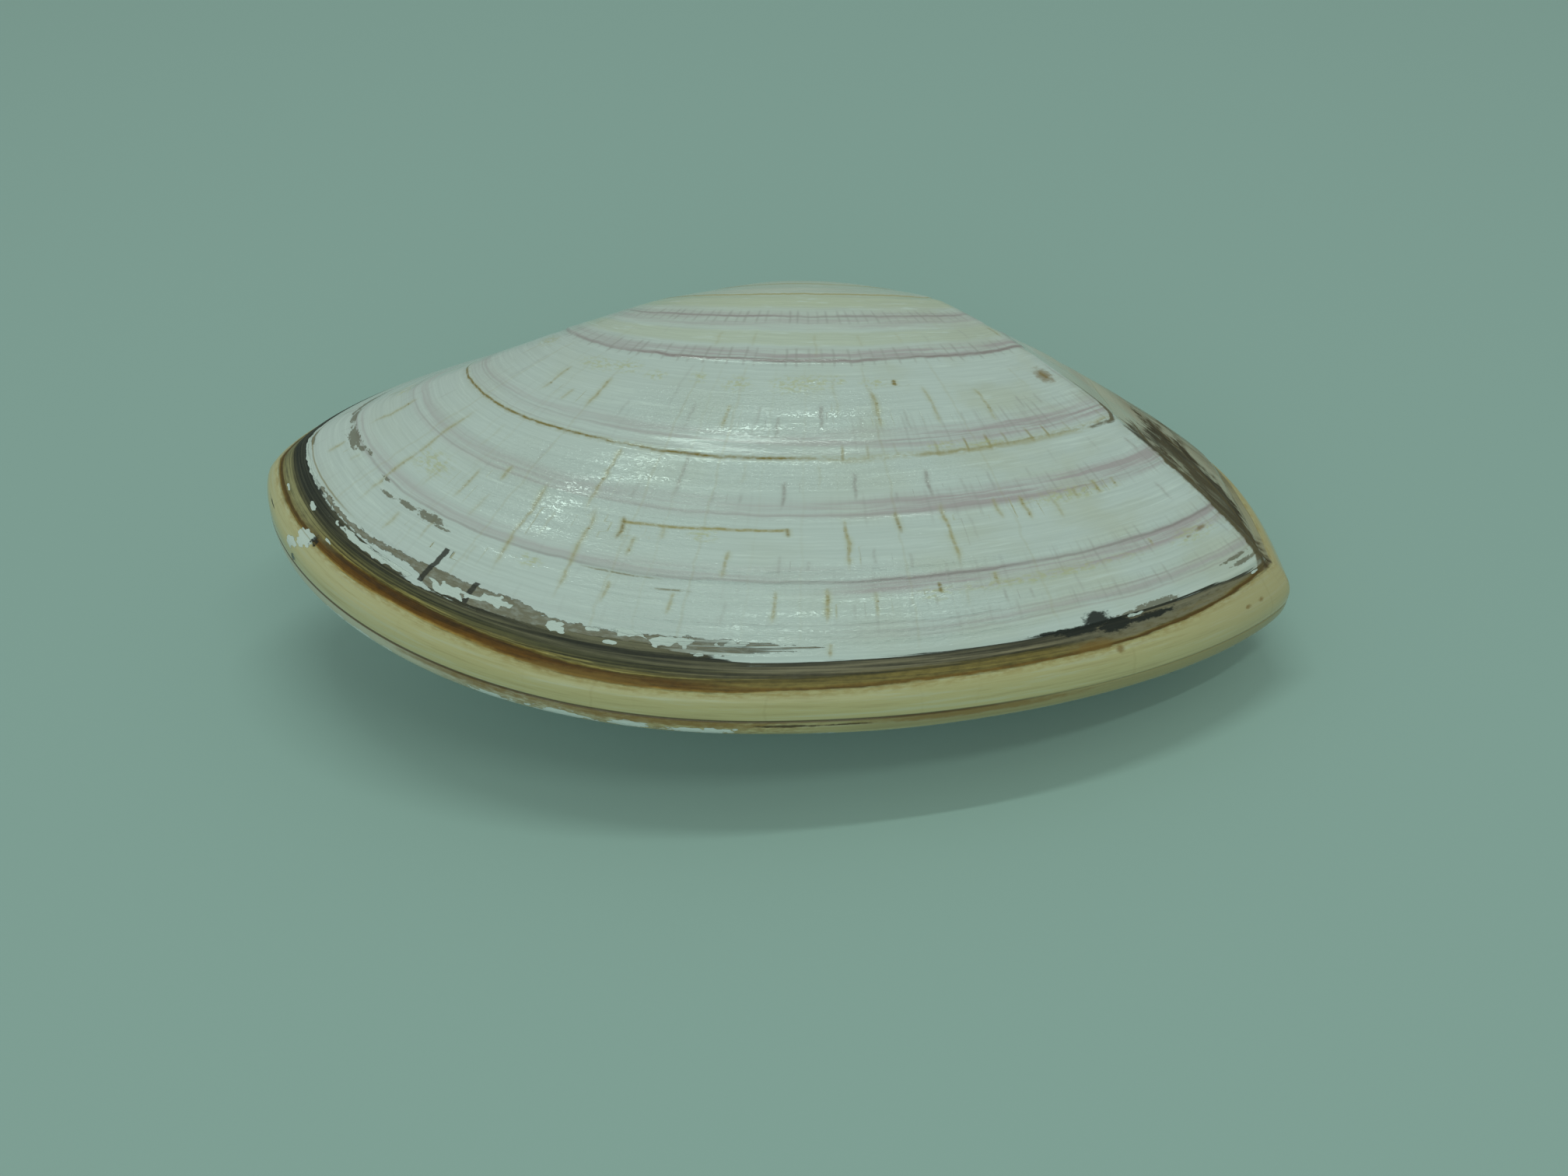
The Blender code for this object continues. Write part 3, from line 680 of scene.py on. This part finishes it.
class Number:
    """A number that the nodes of a material work out, with plain arithmetic."""

    def __init__(self, tree, socket):
        self.tree = tree
        self.socket = socket

    def of(self, kind, *others):
        """Result of a math node of the given kind."""
        node = self.tree.nodes.new("ShaderNodeMath")
        node.operation = kind
        for slot, item in zip(node.inputs, (self,) + others):
            feed(self.tree, slot, item)
        return Number(self.tree, node.outputs[0])

    def __add__(self, other):
        return self.of("ADD", other)

    def __sub__(self, other):
        return self.of("SUBTRACT", other)

    def __mul__(self, other):
        return self.of("MULTIPLY", other)

    def __truediv__(self, other):
        return self.of("DIVIDE", other)


def feed(tree, slot, item):
    """Link a number or a socket to an input, or set a plain value on it."""
    if isinstance(item, Number):
        tree.links.new(item.socket, slot)
    elif isinstance(item, bpy.types.NodeSocket):
        tree.links.new(item, slot)
    else:
        slot.default_value = item


def ease(value, low, high):
    """Smooth step from 0 at low to 1 at high; low may be the greater."""
    node = value.tree.nodes.new("ShaderNodeMapRange")
    node.interpolation_type = "SMOOTHSTEP"
    for slot, item in zip(node.inputs, (value, low, high)):
        feed(value.tree, slot, item)
    return Number(value.tree, node.outputs[0])


def near(value, centre, reach):
    """1 at the centre, easing to 0 at a distance of reach."""
    return ease((value - centre).of("ABSOLUTE"), reach, 0.0)


def between(value, low, high, soft):
    """1 between low and high, with eased edges."""
    return ease(value, low - soft, low + soft) * ease(value, high + soft, high - soft)


def flip(value):
    """What is left of 1."""
    return (value * -1.0) + 1.0


class Paint:
    """Material whose colour is laid on in layers."""

    def __init__(self, name, colour):
        self.material = bpy.data.materials.new(name)
        self.material.use_nodes = True
        self.tree = self.material.node_tree
        self.shader = self.tree.nodes["Principled BSDF"]
        self.shader.inputs["Specular IOR Level"].default_value = 0.42
        self.colour = self.rgb(colour)

    def rgb(self, colour):
        """Socket with a plain colour."""
        node = self.tree.nodes.new("ShaderNodeRGB")
        node.outputs[0].default_value = tuple(colour) + (1.0,)
        return node.outputs[0]

    def given(self, name):
        """A field stored on the mesh."""
        node = self.tree.nodes.new("ShaderNodeAttribute")
        node.attribute_name = name
        return Number(self.tree, node.outputs["Fac"])

    def vector(self, x, y, z):
        """Vector of three numbers."""
        node = self.tree.nodes.new("ShaderNodeCombineXYZ")
        for slot, item in zip(node.inputs, (x, y, z)):
            feed(self.tree, slot, item)
        return node.outputs[0]

    def noise(self, x, y, seed, detail=2.0, roughness=0.5):
        """Smooth noise about 0.5 over x and y, with features about one unit wide."""
        node = self.tree.nodes.new("ShaderNodeTexNoise")
        feed(self.tree, node.inputs["Vector"], self.vector(x, y, seed * 7.31))
        node.inputs["Scale"].default_value = 1.0
        node.inputs["Detail"].default_value = detail
        node.inputs["Roughness"].default_value = roughness
        return Number(self.tree, node.outputs[0])

    def chance(self, cell, seed):
        """Random number from 0 to 1 of a cell."""
        node = self.tree.nodes.new("ShaderNodeTexWhiteNoise")
        node.noise_dimensions = "2D"
        feed(self.tree, node.inputs["Vector"], self.vector(cell, seed + 0.5, 0.0))
        return Number(self.tree, node.outputs[0])

    def lay(self, colour, share):
        """Lay a colour over what is there by a share."""
        node = self.tree.nodes.new("ShaderNodeMix")
        node.data_type = "RGBA"
        feed(self.tree, node.inputs[0], share)
        feed(self.tree, node.inputs[6], self.colour)
        plain = not isinstance(colour, bpy.types.NodeSocket)
        feed(self.tree, node.inputs[7], self.rgb(colour) if plain else colour)
        self.colour = node.outputs[2]

    def ramp(self, value, reach, stops):
        """Colour read from stops of a value from 0 to reach."""
        node = self.tree.nodes.new("ShaderNodeValToRGB")
        feed(self.tree, node.inputs[0], value / reach)
        stops = list(stops)
        points = node.color_ramp.elements
        while len(points) < len(stops):
            points.new(0.5)
        for point, (place, colour) in zip(points, stops):
            point.position = place / reach
            point.color = tuple(colour) + (1.0,)
        return node.outputs[0]

    def shade(self, value):
        """Make what is there lighter or darker by a factor."""
        node = self.tree.nodes.new("ShaderNodeVectorMath")
        node.operation = "SCALE"
        feed(self.tree, node.inputs[0], self.colour)
        feed(self.tree, node.inputs["Scale"], value)
        self.colour = node.outputs[0]

    def finish(self, roughness, height):
        """Connect the colour, the roughness and the fine relief, in millimetres."""
        feed(self.tree, self.shader.inputs["Base Color"], self.colour)
        feed(self.tree, self.shader.inputs["Roughness"], roughness)
        bump = self.tree.nodes.new("ShaderNodeBump")
        bump.inputs["Distance"].default_value = MM
        feed(self.tree, bump.inputs["Height"], height)
        self.tree.links.new(bump.outputs[0], self.shader.inputs["Normal"])
        return self.material


WHITE = (0.79, 0.79, 0.79)
UMBO = (0.76, 0.715, 0.615)
PALE_YELLOW = (0.75, 0.72, 0.55)
MAUVE = (0.62, 0.49, 0.52)
GREY_MAUVE = (0.50, 0.43, 0.42)
TAN = (0.55, 0.43, 0.23)
OCHRE = (0.33, 0.22, 0.07)
FILM = (0.25, 0.195, 0.132)
DARK = (0.075, 0.058, 0.035)
CREAM = (0.67, 0.55, 0.29)
BLACK = (0.018, 0.017, 0.015)

# Colours inside the cream border, by millimetres towards the beak
FRONT_BANDS = (
    (0.00, (0.52, 0.36, 0.14)), (0.10, (0.38, 0.20, 0.04)), (0.28, (0.18, 0.068, 0.003)),
    (0.60, (0.14, 0.050, 0.002)), (0.94, (0.10, 0.038, 0.003)), (1.04, (0.20, 0.12, 0.02)),
    (1.12, (0.40, 0.29, 0.10)), (1.21, (0.18, 0.125, 0.035)), (1.31, (0.30, 0.22, 0.08)),
    (1.42, (0.13, 0.10, 0.04)), (1.75, (0.08, 0.065, 0.03)),
    (2.20, (0.13, 0.104, 0.062)), (2.60, (0.062, 0.05, 0.032)), (3.20, (0.15, 0.122, 0.076)))
REAR_BANDS = (
    (0.00, (0.45, 0.33, 0.14)), (0.10, (0.20, 0.10, 0.015)), (0.24, (0.19, 0.095, 0.015)),
    (0.40, (0.27, 0.18, 0.050)), (0.90, (0.26, 0.17, 0.048)), (1.08, (0.13, 0.088, 0.030)),
    (1.30, (0.22, 0.165, 0.105)), (1.80, (0.19, 0.145, 0.095)), (2.30, (0.10, 0.078, 0.048)),
    (3.20, (0.09, 0.070, 0.045)))
END_BANDS = (
    (0.00, (0.50, 0.38, 0.16)), (0.10, (0.26, 0.14, 0.03)), (0.28, (0.12, 0.058, 0.01)),
    (0.50, (0.12, 0.062, 0.015)), (0.62, (0.28, 0.21, 0.09)), (1.00, (0.40, 0.33, 0.17)),
    (1.50, (0.25, 0.20, 0.10)), (1.85, (0.10, 0.08, 0.04)), (2.10, (0.05, 0.042, 0.03)),
    (2.80, (0.045, 0.04, 0.03)))


def radial_lines(paint, along, grown, spacing, seed, rarity):
    """Fine radial lines at uneven spacing, from 0 to 1; the lower the rarity, the more alike they are."""
    cell = (along / spacing).of("FLOOR")
    jitter = (paint.chance(cell, seed) - 0.5) * 0.5 + 0.5
    wander = (paint.noise(along * 0.4, grown * 0.5, seed) - 0.5) * 0.25
    aside = ((along / spacing).of("FRACT") - jitter + wander) * spacing * (grown / 63.0)
    weight = ease(paint.chance(cell, seed + 40), rarity, 1.0)
    return near(aside, 0.0, min(0.22, spacing * 0.16 + 0.02)) * weight


def paint_disc(paint, grown, along, streaks, grain):
    """White disc: cream beak, mauve bands, brown lines and radial lines."""
    rear = ease(along, 104.0, 152.0)
    lines = paint.noise(along * 0.05, grown * 1.9, 14, 3.0, 0.6)
    paint.lay(UMBO, ease(grown, 31.0, 12.0) * 0.9)
    paint.lay(PALE_YELLOW, between(grown, 18.7, 21.6, 0.5) * 0.75)
    paint.lay(PALE_YELLOW, between(grown, 25.6, 27.5, 0.3) * 0.5)
    paint.lay((0.62, 0.45, 0.33), ease(grown, 14.6, 11.0) * 0.35)
    tone = paint.noise(along * 0.09, grown * 0.22, 31, 3.0)
    paint.lay((0.72, 0.68, 0.58), ease(tone, 0.42, 0.72) * (rear * 0.45 + 0.2))
    # Pale streaks along the growth lines: partly the shell's own fine white striae, partly painted glints of
    # the lamp on them
    paint.lay((0.90, 0.90, 0.885), ease(streaks, 0.55, 0.72) * 0.6)
    # Fine lighter and darker concentric lines: partly the shell's own striation, partly painted light and
    # shade of the fine growth-line relief
    paint.shade(paint.noise(along * 0.06, grown * 4.4, 33, 2.0, 0.6) * 0.26 + 0.87)
    bands = between(grown, 22.5, 25.0, 0.35) * 0.35 + near(grown, 23.2, 0.30) * 0.30
    beak_band = ease(grown, 27.6, 28.8) * ease(grown, 29.75, 29.6)
    bands = bands + beak_band * (ease(along, 66.0, 100.0) * 0.35 + 0.35)
    bands = bands + between(grown, 37.8, 39.6, 0.8) * (rear * 0.6 + 0.35)
    bands = bands + between(grown, 44.5, 46.2, 0.6) * (rear * 0.75 + 0.35)
    past_line = ease(along, 112.0, 128.0)
    bands = bands + between(grown, 51.9, 53.3, 0.4) * past_line * 0.85
    bands = bands + near(grown, 51.4, 1.2) * flip(past_line) * 0.4
    bands = bands + near(grown, 56.2, 0.8) * (rear * 0.45 + 0.05)
    bands = bands * (ease(lines, 0.36, 0.62) * 1.1 + 0.25)
    paint.lay(MAUVE, bands.of("MINIMUM", 0.95))
    thin = near(grown, 29.55, 0.30) * (ease(along, 70.0, 95.0) * 0.4 + 0.6)
    thin = thin + near(grown, 52.0, 0.20) * (rear * 0.3 + 0.45)
    thin = thin + near(grown, 40.0, 0.15) * 0.2 + near(grown, 55.7, 0.18) * 0.40 * rear
    thin = thin + near(grown, 56.75, 0.16) * 0.40 * rear + near(grown, 46.0, 0.14) * 0.25
    thin = thin + near(grown, 23.2, 0.28) * 0.6 + near(grown, 38.9, 0.14) * 0.2
    paint.lay((0.42, 0.30, 0.31), (thin * (ease(streaks, 0.25, 0.6) * 0.6 + 0.4)).of("MINIMUM", 0.9))
    fine = radial_lines(paint, along, grown, 2.5, 3, -0.6)
    finer = radial_lines(paint, along, grown, 1.45, 4, 0.15)
    comb = radial_lines(paint, along, grown, 0.85, 5, -0.5)
    zones = between(grown, 22.3, 24.3, 0.4) + between(grown, 28.0, 30.2, 0.3)
    paint.lay(GREY_MAUVE, fine * zones.of("MINIMUM", 1.0) * 0.5)
    low_zones = between(grown, 36.4, 40.0, 0.6) + between(grown, 44.0, 47.0, 0.6)
    low_zones = low_zones + between(grown, 51.0, 53.6, 0.6) + between(grown, 55.0, 56.6, 0.5)
    paint.lay(GREY_MAUVE, finer * low_zones * (rear * 0.22 + 0.10))
    paint.lay(GREY_MAUVE, comb * low_zones * (rear * 0.14 + 0.02))
    paint.lay(TAN, radial_lines(paint, along, grown, 4.7, 15, 0.15) * between(grown, 30.5, 57.5, 1.0) * 0.16)
    broken = ease(paint.noise(along * 0.16, grown * 0.9, 8, 3.0), 0.42, 0.54)
    paint.lay((0.60, 0.47, 0.25), near(grown, 14.7, 0.35) * 0.7)
    paint.lay((0.58, 0.44, 0.20), near(grown, 18.7, 0.24) * 0.85)
    front = ease(along, 124.0, 110.0)
    paint.lay(TAN, near(grown, 40.5, 0.55) * ease(grain, 0.35, 0.65) * 0.45)
    groove = near(grown, 40.5, 0.20) * (front * 0.65 + broken * 0.5) * (ease(grain, 0.3, 0.6) * 0.4 + 0.6)
    paint.lay((0.34, 0.23, 0.07), groove * 0.95)
    hanging = radial_lines(paint, along, grown, 3.3, 16, 0.0) * between(grown, 39.3, 40.7, 0.4) * flip(front)
    paint.lay((0.45, 0.32, 0.12), hanging * 0.75)
    paint.lay(TAN, between(grown, 40.3, 40.9, 0.3) * flip(front) * broken * 0.5)
    hairline = near(grown + along * 0.022, 49.80, 0.26) * between(along, 96.0, 113.4, 0.4)
    paint.lay((0.48, 0.34, 0.11), hairline * (ease(grain, 0.3, 0.6) * 0.4 + 0.5))
    dash = near(grown, 53.1, 0.14) * between(along, 101.6, 104.6, 0.8)
    dash = dash + near(grown, 52.25, 0.13) * between(along, 94.5, 101.2, 1.6)
    paint.lay((0.30, 0.22, 0.11), dash * ease(grain, 0.3, 0.55) * 0.8)


def shell_paint(name, lower):
    """Material of a valve, drawn from the fields stored on its mesh."""
    paint = Paint(name, WHITE)
    place = paint.given("along")
    true_grown = paint.given("grown")
    wobble = (paint.noise(place * 0.07, true_grown * 0.12, 1) - 0.5) * 0.7
    wobble = wobble + (paint.noise(place * 0.5, true_grown * 0.6, 2) - 0.5) * 0.22
    grown = true_grown + wobble
    streaks = paint.noise(place * 0.13, true_grown * 2.6, 5, 3.0, 0.6)
    grain = paint.noise(place * 1.1, true_grown * 3.2, 6, 3.0, 0.65)
    jag = (paint.noise(place * 0.9, true_grown * 2.2, 7, 3.0, 0.6) - 0.5)
    paint_disc(paint, grown, place, streaks, grain)

    blotch = ease(paint.given("blotch") + (grain - 0.5) * 0.8, -0.1, 0.9)
    paint.lay((0.68, 0.61, 0.34), blotch * ease(grain, 0.42, 0.62) * 0.6)
    offset = paint.given("crack_offset")
    weight = paint.given("crack_strength")
    tone = paint.given("crack_tone")
    dotted = ease(grain, 0.30, 0.62) * 0.55 + 0.45
    flaked = paint.noise(place * 1.7, true_grown * 3.6, 17, 3.0, 0.7) - 0.5
    width = weight * 0.08 + 0.22
    aside = offset.of("ABSOLUTE")
    cloud = paint.noise(place * 0.25, true_grown * 0.9, 24, 2.0)
    halo = ease(aside, 0.62, 0.0) * weight * ease(cloud, 0.35, 0.60) * ease(tone, 2.6, 2.4)
    paint.lay((0.66, 0.62, 0.61), halo * ease(tone, 0.6, 0.4) * 0.5)
    paint.lay((0.66, 0.58, 0.39), halo * ease(tone, 0.4, 0.6) * 0.6)
    crack = (ease(aside, width, 0.0) * weight * dotted).of("MINIMUM", 0.95) * ease(tone, 2.6, 2.4)
    paint.lay(GREY_MAUVE, crack * ease(tone, 0.6, 0.4))
    paint.lay(TAN, crack * near(tone, 1.0, 0.6))
    paint.lay((0.36, 0.24, 0.08), crack * near(tone, 2.0, 0.5))
    slash = ease(aside + flaked * 0.25, 0.30, 0.20) * ease(weight, 0.4, 0.8) * ease(tone, 2.4, 2.6)
    dots = ease(grain, 0.60, 0.70) * ease(aside, 0.28, 0.1) * ease(tone, 0.4, 0.8)
    paint.lay(OCHRE, dots * ease(weight, 0.3, 0.6) * 0.7)

    border = paint.given("border") + (streaks - 0.5) * 0.5 + jag * 0.22
    front = ease(place, 112.0, 102.0)
    long_streaks = paint.noise(place * 0.06, true_grown * 5.0, 13, 3.0, 0.6)
    ragged = jag * (front * 0.5 + 0.08) + (long_streaks - 0.5) * 0.9
    dark = ease(paint.given("dark") + ragged, -0.02, 0.08)
    film = ease(paint.given("film") + jag * 0.7 + flaked * 0.5, -0.02, 0.05)
    film = film * (front + ease(long_streaks, 0.49, 0.55)).of("MINIMUM", 1.0)
    rear = ease(place + (streaks - 0.5) * 20.0, 100.0, 116.0)
    end = ease(place, 74.0, 64.0)
    bands = paint.ramp(border.of("MAXIMUM", 0.0), 4.0, FRONT_BANDS)
    rear_bands = paint.ramp(border.of("MAXIMUM", 0.0), 4.0, REAR_BANDS)
    end_bands = paint.ramp(border.of("MAXIMUM", 0.0), 4.0, END_BANDS)
    paint.lay(FILM, film * (ease(grain, 0.3, 0.6) * 0.22 + 0.72))
    patch = ease(paint.given("patch") + flaked * 2.0 - 0.1, 0.0, 0.25)
    paint.lay((0.20, 0.155, 0.10), patch * 0.8)
    ringed = ease(place, 52.0, 56.0) * ease(place, 72.0, 66.0)
    paint.lay(OCHRE, near(grown, 56.55, 0.14) * ringed * 0.7)
    within = paint.colour
    paint.colour = bands
    paint.lay(rear_bands, rear)
    paint.lay(end_bands, end)
    laminar = paint.noise(place * 0.05, true_grown * 4.6, 18, 3.0, 0.6)
    outer_layers = ease(border, 0.85, 1.25)
    shades = outer_layers * (ease(laminar, 0.38, 0.62) * 1.15 + grain * 0.6 + 0.16)
    paint.shade(shades + flip(outer_layers) * (ease(laminar, 0.40, 0.60) * 0.4 + grain * 1.3 + 0.15))
    grey_brown = ease(place, 136.0, 146.0) * between(border, 0.40, 1.6, 0.12)
    paint.lay((0.31, 0.245, 0.17), grey_brown * (ease(grain, 0.3, 0.6) * 0.45 + 0.45))
    paint.lay((0.13, 0.058, 0.008), near(border, 0.18, 0.26) * ease(place, 134.0, 142.0) * 0.85)
    top_line = near(paint.given("dark") + ragged, 0.09, 0.27) * rear
    paint.lay((0.035, 0.03, 0.024), top_line * 0.85)
    laminae = paint.colour
    paint.colour = within
    paint.lay(laminae, dark)
    paint.lay((0.05, 0.042, 0.034), slash * 0.92)

    angular = paint.noise(place * 1.2, true_grown * 2.2, 20, 1.0) - 0.5
    chip_edge = paint.given("chip") + angular * 1.7 + flaked * 0.6 - 0.10
    chip = ease(chip_edge, 0.0, 0.06)
    paint.lay((0.82, 0.82, 0.80), chip * flip(ease(border, 0.1, -0.1)))
    rear_tone = ease(place + (jag * 6.0), 160.8, 165.8) * ease(grown, 26.0, 42.0)
    paint.lay((0.60, 0.52, 0.37), rear_tone * 0.75)
    lengthwise = paint.noise(place * 0.9, true_grown * 0.16, 19, 3.0, 0.6)
    behind = ease(place, 168.0, 180.0) * ease(grown, 40.0, 48.0)
    paint.lay((0.22, 0.145, 0.06), behind * (ease(lengthwise, 0.3, 0.6) * 0.45 + 0.45))
    patches = paint.noise(place * 0.22, true_grown * 0.30, 21, 4.0, 0.65)
    slope_edge = paint.given("slope") * 0.10 + (lengthwise - 0.5) * 1.3 + (patches - 0.5) * 1.6
    slope = ease(slope_edge, 0.0, 0.4) * ease(place + jag * 0.6, 162.0, 162.9)
    flakes = ease(paint.noise(place * 0.5, true_grown * 0.35, 25, 3.0, 0.65), 0.50, 0.60)
    flakes = flakes * ease(true_grown, 52.0, 48.0)
    brown = slope * (ease(lengthwise, 0.28, 0.55) * 0.35 + 0.6) * flip(flakes * 0.75)
    paint.lay((0.09, 0.045, 0.006), brown)
    paint.lay((0.05, 0.025, 0.005), slope * near(slope_edge, 0.55, 0.40) * 0.7)
    stained = ease(paint.given("stain") + jag * 0.5, -0.06, 0.25) * (ease(streaks, 0.28, 0.5) * 0.4 + 0.6)
    paint.lay((0.16, 0.095, 0.03), stained * 0.85)

    bead = ease(border, 0.08, -0.12)
    cream_streak = paint.noise(place * 0.10, true_grown * 2.4, 9, 4.0, 0.65)
    base = paint.colour
    paint.colour = paint.rgb(CREAM)
    paint.lay((0.74, 0.62, 0.37), ease(place, 90.0, 74.0) * 0.75)
    paint.lay((0.70, 0.63, 0.44), ease(cream_streak, 0.50, 0.66) * 0.65)
    paint.lay((0.52, 0.40, 0.20), ease(cream_streak, 0.48, 0.34) * 0.5)
    paint.lay((0.60, 0.47, 0.27), ease(place, 145.0, 160.0) * 0.6)
    paint.lay((0.45, 0.27, 0.08), ease(border, -0.75, -0.05) * ease(grain, 0.35, 0.65) * 0.55)
    paint.lay((0.40, 0.27, 0.11), radial_lines(paint, place, true_grown, 5.3, 12, 0.15) * 0.15)
    if lower:
        paint.lay((0.66, 0.60, 0.50), ease(place, 112.0, 88.0) * ease(true_grown, 61.4, 62.2) * 0.8)
        stained_rim = between(place, 86.0, 116.0, 4.0) * ease(true_grown, 61.5, 62.3)
        paint.lay((0.36, 0.23, 0.09), stained_rim * ease(grain, 0.35, 0.6) * 0.7)
        paint.lay((0.34, 0.27, 0.13), ease(place, 112.0, 124.0) * ease(true_grown, 61.8, 62.6) * 0.7)
    cream = paint.colour
    paint.colour = base
    paint.lay(cream, bead)
    paint.lay((0.84, 0.84, 0.82), chip * bead)
    rust = ease(paint.given("rust") + jag * 1.0, 0.0, 0.7)
    paint.lay((0.30, 0.15, 0.03), rust * 0.7)
    scar = ease(paint.given("scar") + flaked * 1.4 - 0.05, -0.05, 0.35)
    paint.lay((0.10, 0.06, 0.025) if lower else BLACK, scar * 0.95)
    rim = ease(true_grown, FULLY_GROWN - 0.20, FULLY_GROWN - 0.02) * ease(place, 142.0, 126.0)
    paint.lay((0.14, 0.07, 0.02), rim * (flip(chip) * 0.85))
    inner = paint.given("inner")
    paint.lay((0.80, 0.77, 0.66), inner)

    covered = (dark * flip(bead)).of("MAXIMUM", film).of("MAXIMUM", stained).of("MAXIMUM", slope)
    glossy = between(true_grown, 33.4, 38.2, 0.5) * between(place, 90.0, 130.0, 6.0)
    glossy = glossy + between(true_grown, 42.0, 50.0, 1.0) * between(place, 76.0, 104.0, 6.0)
    glossy = glossy + between(true_grown, 50.6, 57.8, 0.5) * between(place, 96.0, 136.0, 6.0)
    glossy = glossy + between(true_grown, 41.0, 43.5, 0.4) * between(place, 100.0, 140.0, 8.0)
    glossy = glossy.of("MINIMUM", 1.0)
    roughness = flip(covered) * (grain * 0.08 + 0.09) * flip(glossy * 0.25) + covered * 0.55
    dashes = ease(paint.noise(place * 1.5, true_grown * 5.0, 10, 1.0), 0.42, 0.64)
    waves = paint.noise(place * 0.08, true_grown * 0.9, 22, 2.0)
    sculpture = dashes * (glossy * 0.020 + 0.003) + waves * 0.02
    edges = near(true_grown, 52.0, 0.26) + near(true_grown, 51.1, 0.20) + near(true_grown, 55.6, 0.22)
    edges = edges + near(true_grown, 56.5, 0.22) + near(true_grown, 57.2, 0.20)
    sculpture = sculpture + edges * ease(streaks, 0.40, 0.52) * between(place, 100.0, 136.0, 5.0) * 0.045
    height = sculpture * flip(inner) * flip(bead * 0.75)
    height = height + long_streaks * covered * 0.10 + film * 0.03 - crack * 0.02
    height = height + chip * ((grain - 0.5) * 0.05 - 0.04) - scar * 0.06 + grain * 0.006
    return paint.finish(roughness, height)


def ligament_paint(name):
    """Dark brown horny band with fibres along it and paler worn edges."""
    paint = Paint(name, (0.055, 0.028, 0.012))
    along = paint.given("along")
    around = paint.given("around")
    fibres = paint.noise(along * 0.35, around * 7.0, 41, 4.0, 0.6)
    folds = paint.noise(along * 1.6, around * 1.5, 42, 3.0, 0.6)
    paint.lay((0.16, 0.085, 0.035), ease(fibres, 0.48, 0.68) * 0.7)
    paint.lay((0.02, 0.011, 0.006), ease(folds, 0.52, 0.36) * 0.7)
    paint.lay((0.26, 0.17, 0.08), ease(folds, 0.60, 0.74) * 0.5)
    return paint.finish(fibres * 0.3 + 0.32, fibres * 0.12 + folds * 0.10)


def box_of(mesh):
    """Lowest and highest corner of a mesh."""
    points = np.array([vertex.co for vertex in mesh.vertices])
    return points.min(axis=0), points.max(axis=0)


def lay_on_frame(valves):
    """Shift the pieces to where the frame's lie, flat where they rest, and return the shift."""
    low, high = box_of(valves[0].data)
    cad_low, cad_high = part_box("left_valve")
    shift = Vector([(cad_low[axis] + cad_high[axis] - low[axis] - high[axis]) / 2.0 for axis in range(3)])
    for thing in valves:
        thing.data.transform(Matrix.Translation(shift))
        for vertex in thing.data.vertices:
            vertex.co.z = max(vertex.co.z, 0.0)
    return shift


def studio(shift):
    """Camera at the photo's viewing angle, pale floor and soft light."""
    camera_data = bpy.data.cameras.new("camera")
    camera_data.sensor_width = 36.0
    camera_data.lens = FOCAL_PIXELS / IMAGE_WIDTH * camera_data.sensor_width
    camera_data.clip_start = 0.005
    camera = bpy.data.objects.new("camera", camera_data)
    bpy.context.collection.objects.link(camera)
    azimuth = math.radians(CAMERA_AZIMUTH)
    elevation = math.radians(CAMERA_ELEVATION)
    back = Vector((math.sin(azimuth) * math.cos(elevation), -math.cos(azimuth) * math.cos(elevation),
                   math.sin(elevation)))
    aim = AIM + shift - Vector((0.0, 0.0, FRAME_LIFT))
    turn = (-back).to_track_quat("-Z", "Y").to_matrix().to_4x4()
    roll = Matrix.Rotation(math.radians(CAMERA_ROLL), 4, "Z")
    camera.matrix_world = Matrix.Translation(aim + back * CAMERA_DISTANCE) @ turn @ roll
    bpy.context.scene.camera = camera

    bpy.ops.mesh.primitive_plane_add(size=12.0, location=(0.0, 0.0, 0.0))
    floor = bpy.context.object
    floor.name = "floor"
    paint = bpy.data.materials.new("floor")
    paint.use_nodes = True
    shader = paint.node_tree.nodes["Principled BSDF"]
    shader.inputs["Base Color"].default_value = (0.475, 0.615, 0.59, 1.0)
    shader.inputs["Roughness"].default_value = 0.6
    floor.data.materials.append(paint)

    world = bpy.data.worlds.new("world")
    bpy.context.scene.world = world
    world.use_nodes = True
    background = world.node_tree.nodes["Background"]
    background.inputs["Color"].default_value = LIGHT_TINT + (1.0,)
    background.inputs["Strength"].default_value = 0.32
    area_light("softbox", (-0.02, 0.15, 0.54), (0.0, 0.0, 0.01), (0.34, 0.016), 0.42)
    area_light("front_strip", (0.11, -0.21, 0.54), (0.0, 0.0, 0.01), (0.30, 0.014), 0.22)
    area_light("fill", (-0.10, -0.58, 0.22), (0.0, 0.0, 0.01), (0.60, 0.34), 0.64)


def area_light(name, place, aim, sides, power):
    """Rectangular soft light that looks at a point."""
    data = bpy.data.lights.new(name, "AREA")
    data.shape = "RECTANGLE"
    data.size, data.size_y = sides
    data.energy = power
    data.color = LIGHT_TINT
    light = bpy.data.objects.new(name, data)
    light.location = place
    direction = Vector(aim) - Vector(place)
    light.rotation_mode = "QUATERNION"
    light.rotation_quaternion = direction.to_track_quat("-Z", "Y")
    bpy.context.collection.objects.link(light)


bpy.context.scene.view_settings.view_transform = "Standard"
left = valve("left_valve_fine", 1.0, LEFT_MARKS)
right = valve("right_valve_fine", -1.0, RIGHT_MARKS)
band = ligament("ligament_fine")
shift = lay_on_frame((left, right, band))
left.data.materials.append(shell_paint("left_shell", False))
right.data.materials.append(shell_paint("right_shell", True))
band.data.materials.append(ligament_paint("ligament"))
for thing, node, slot in ((left, "left_valve", "shell"), (right, "right_valve", "shell"),
                          (band, "ligament", "ligament")):
    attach(thing, "root")
    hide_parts(node)
studio(shift)
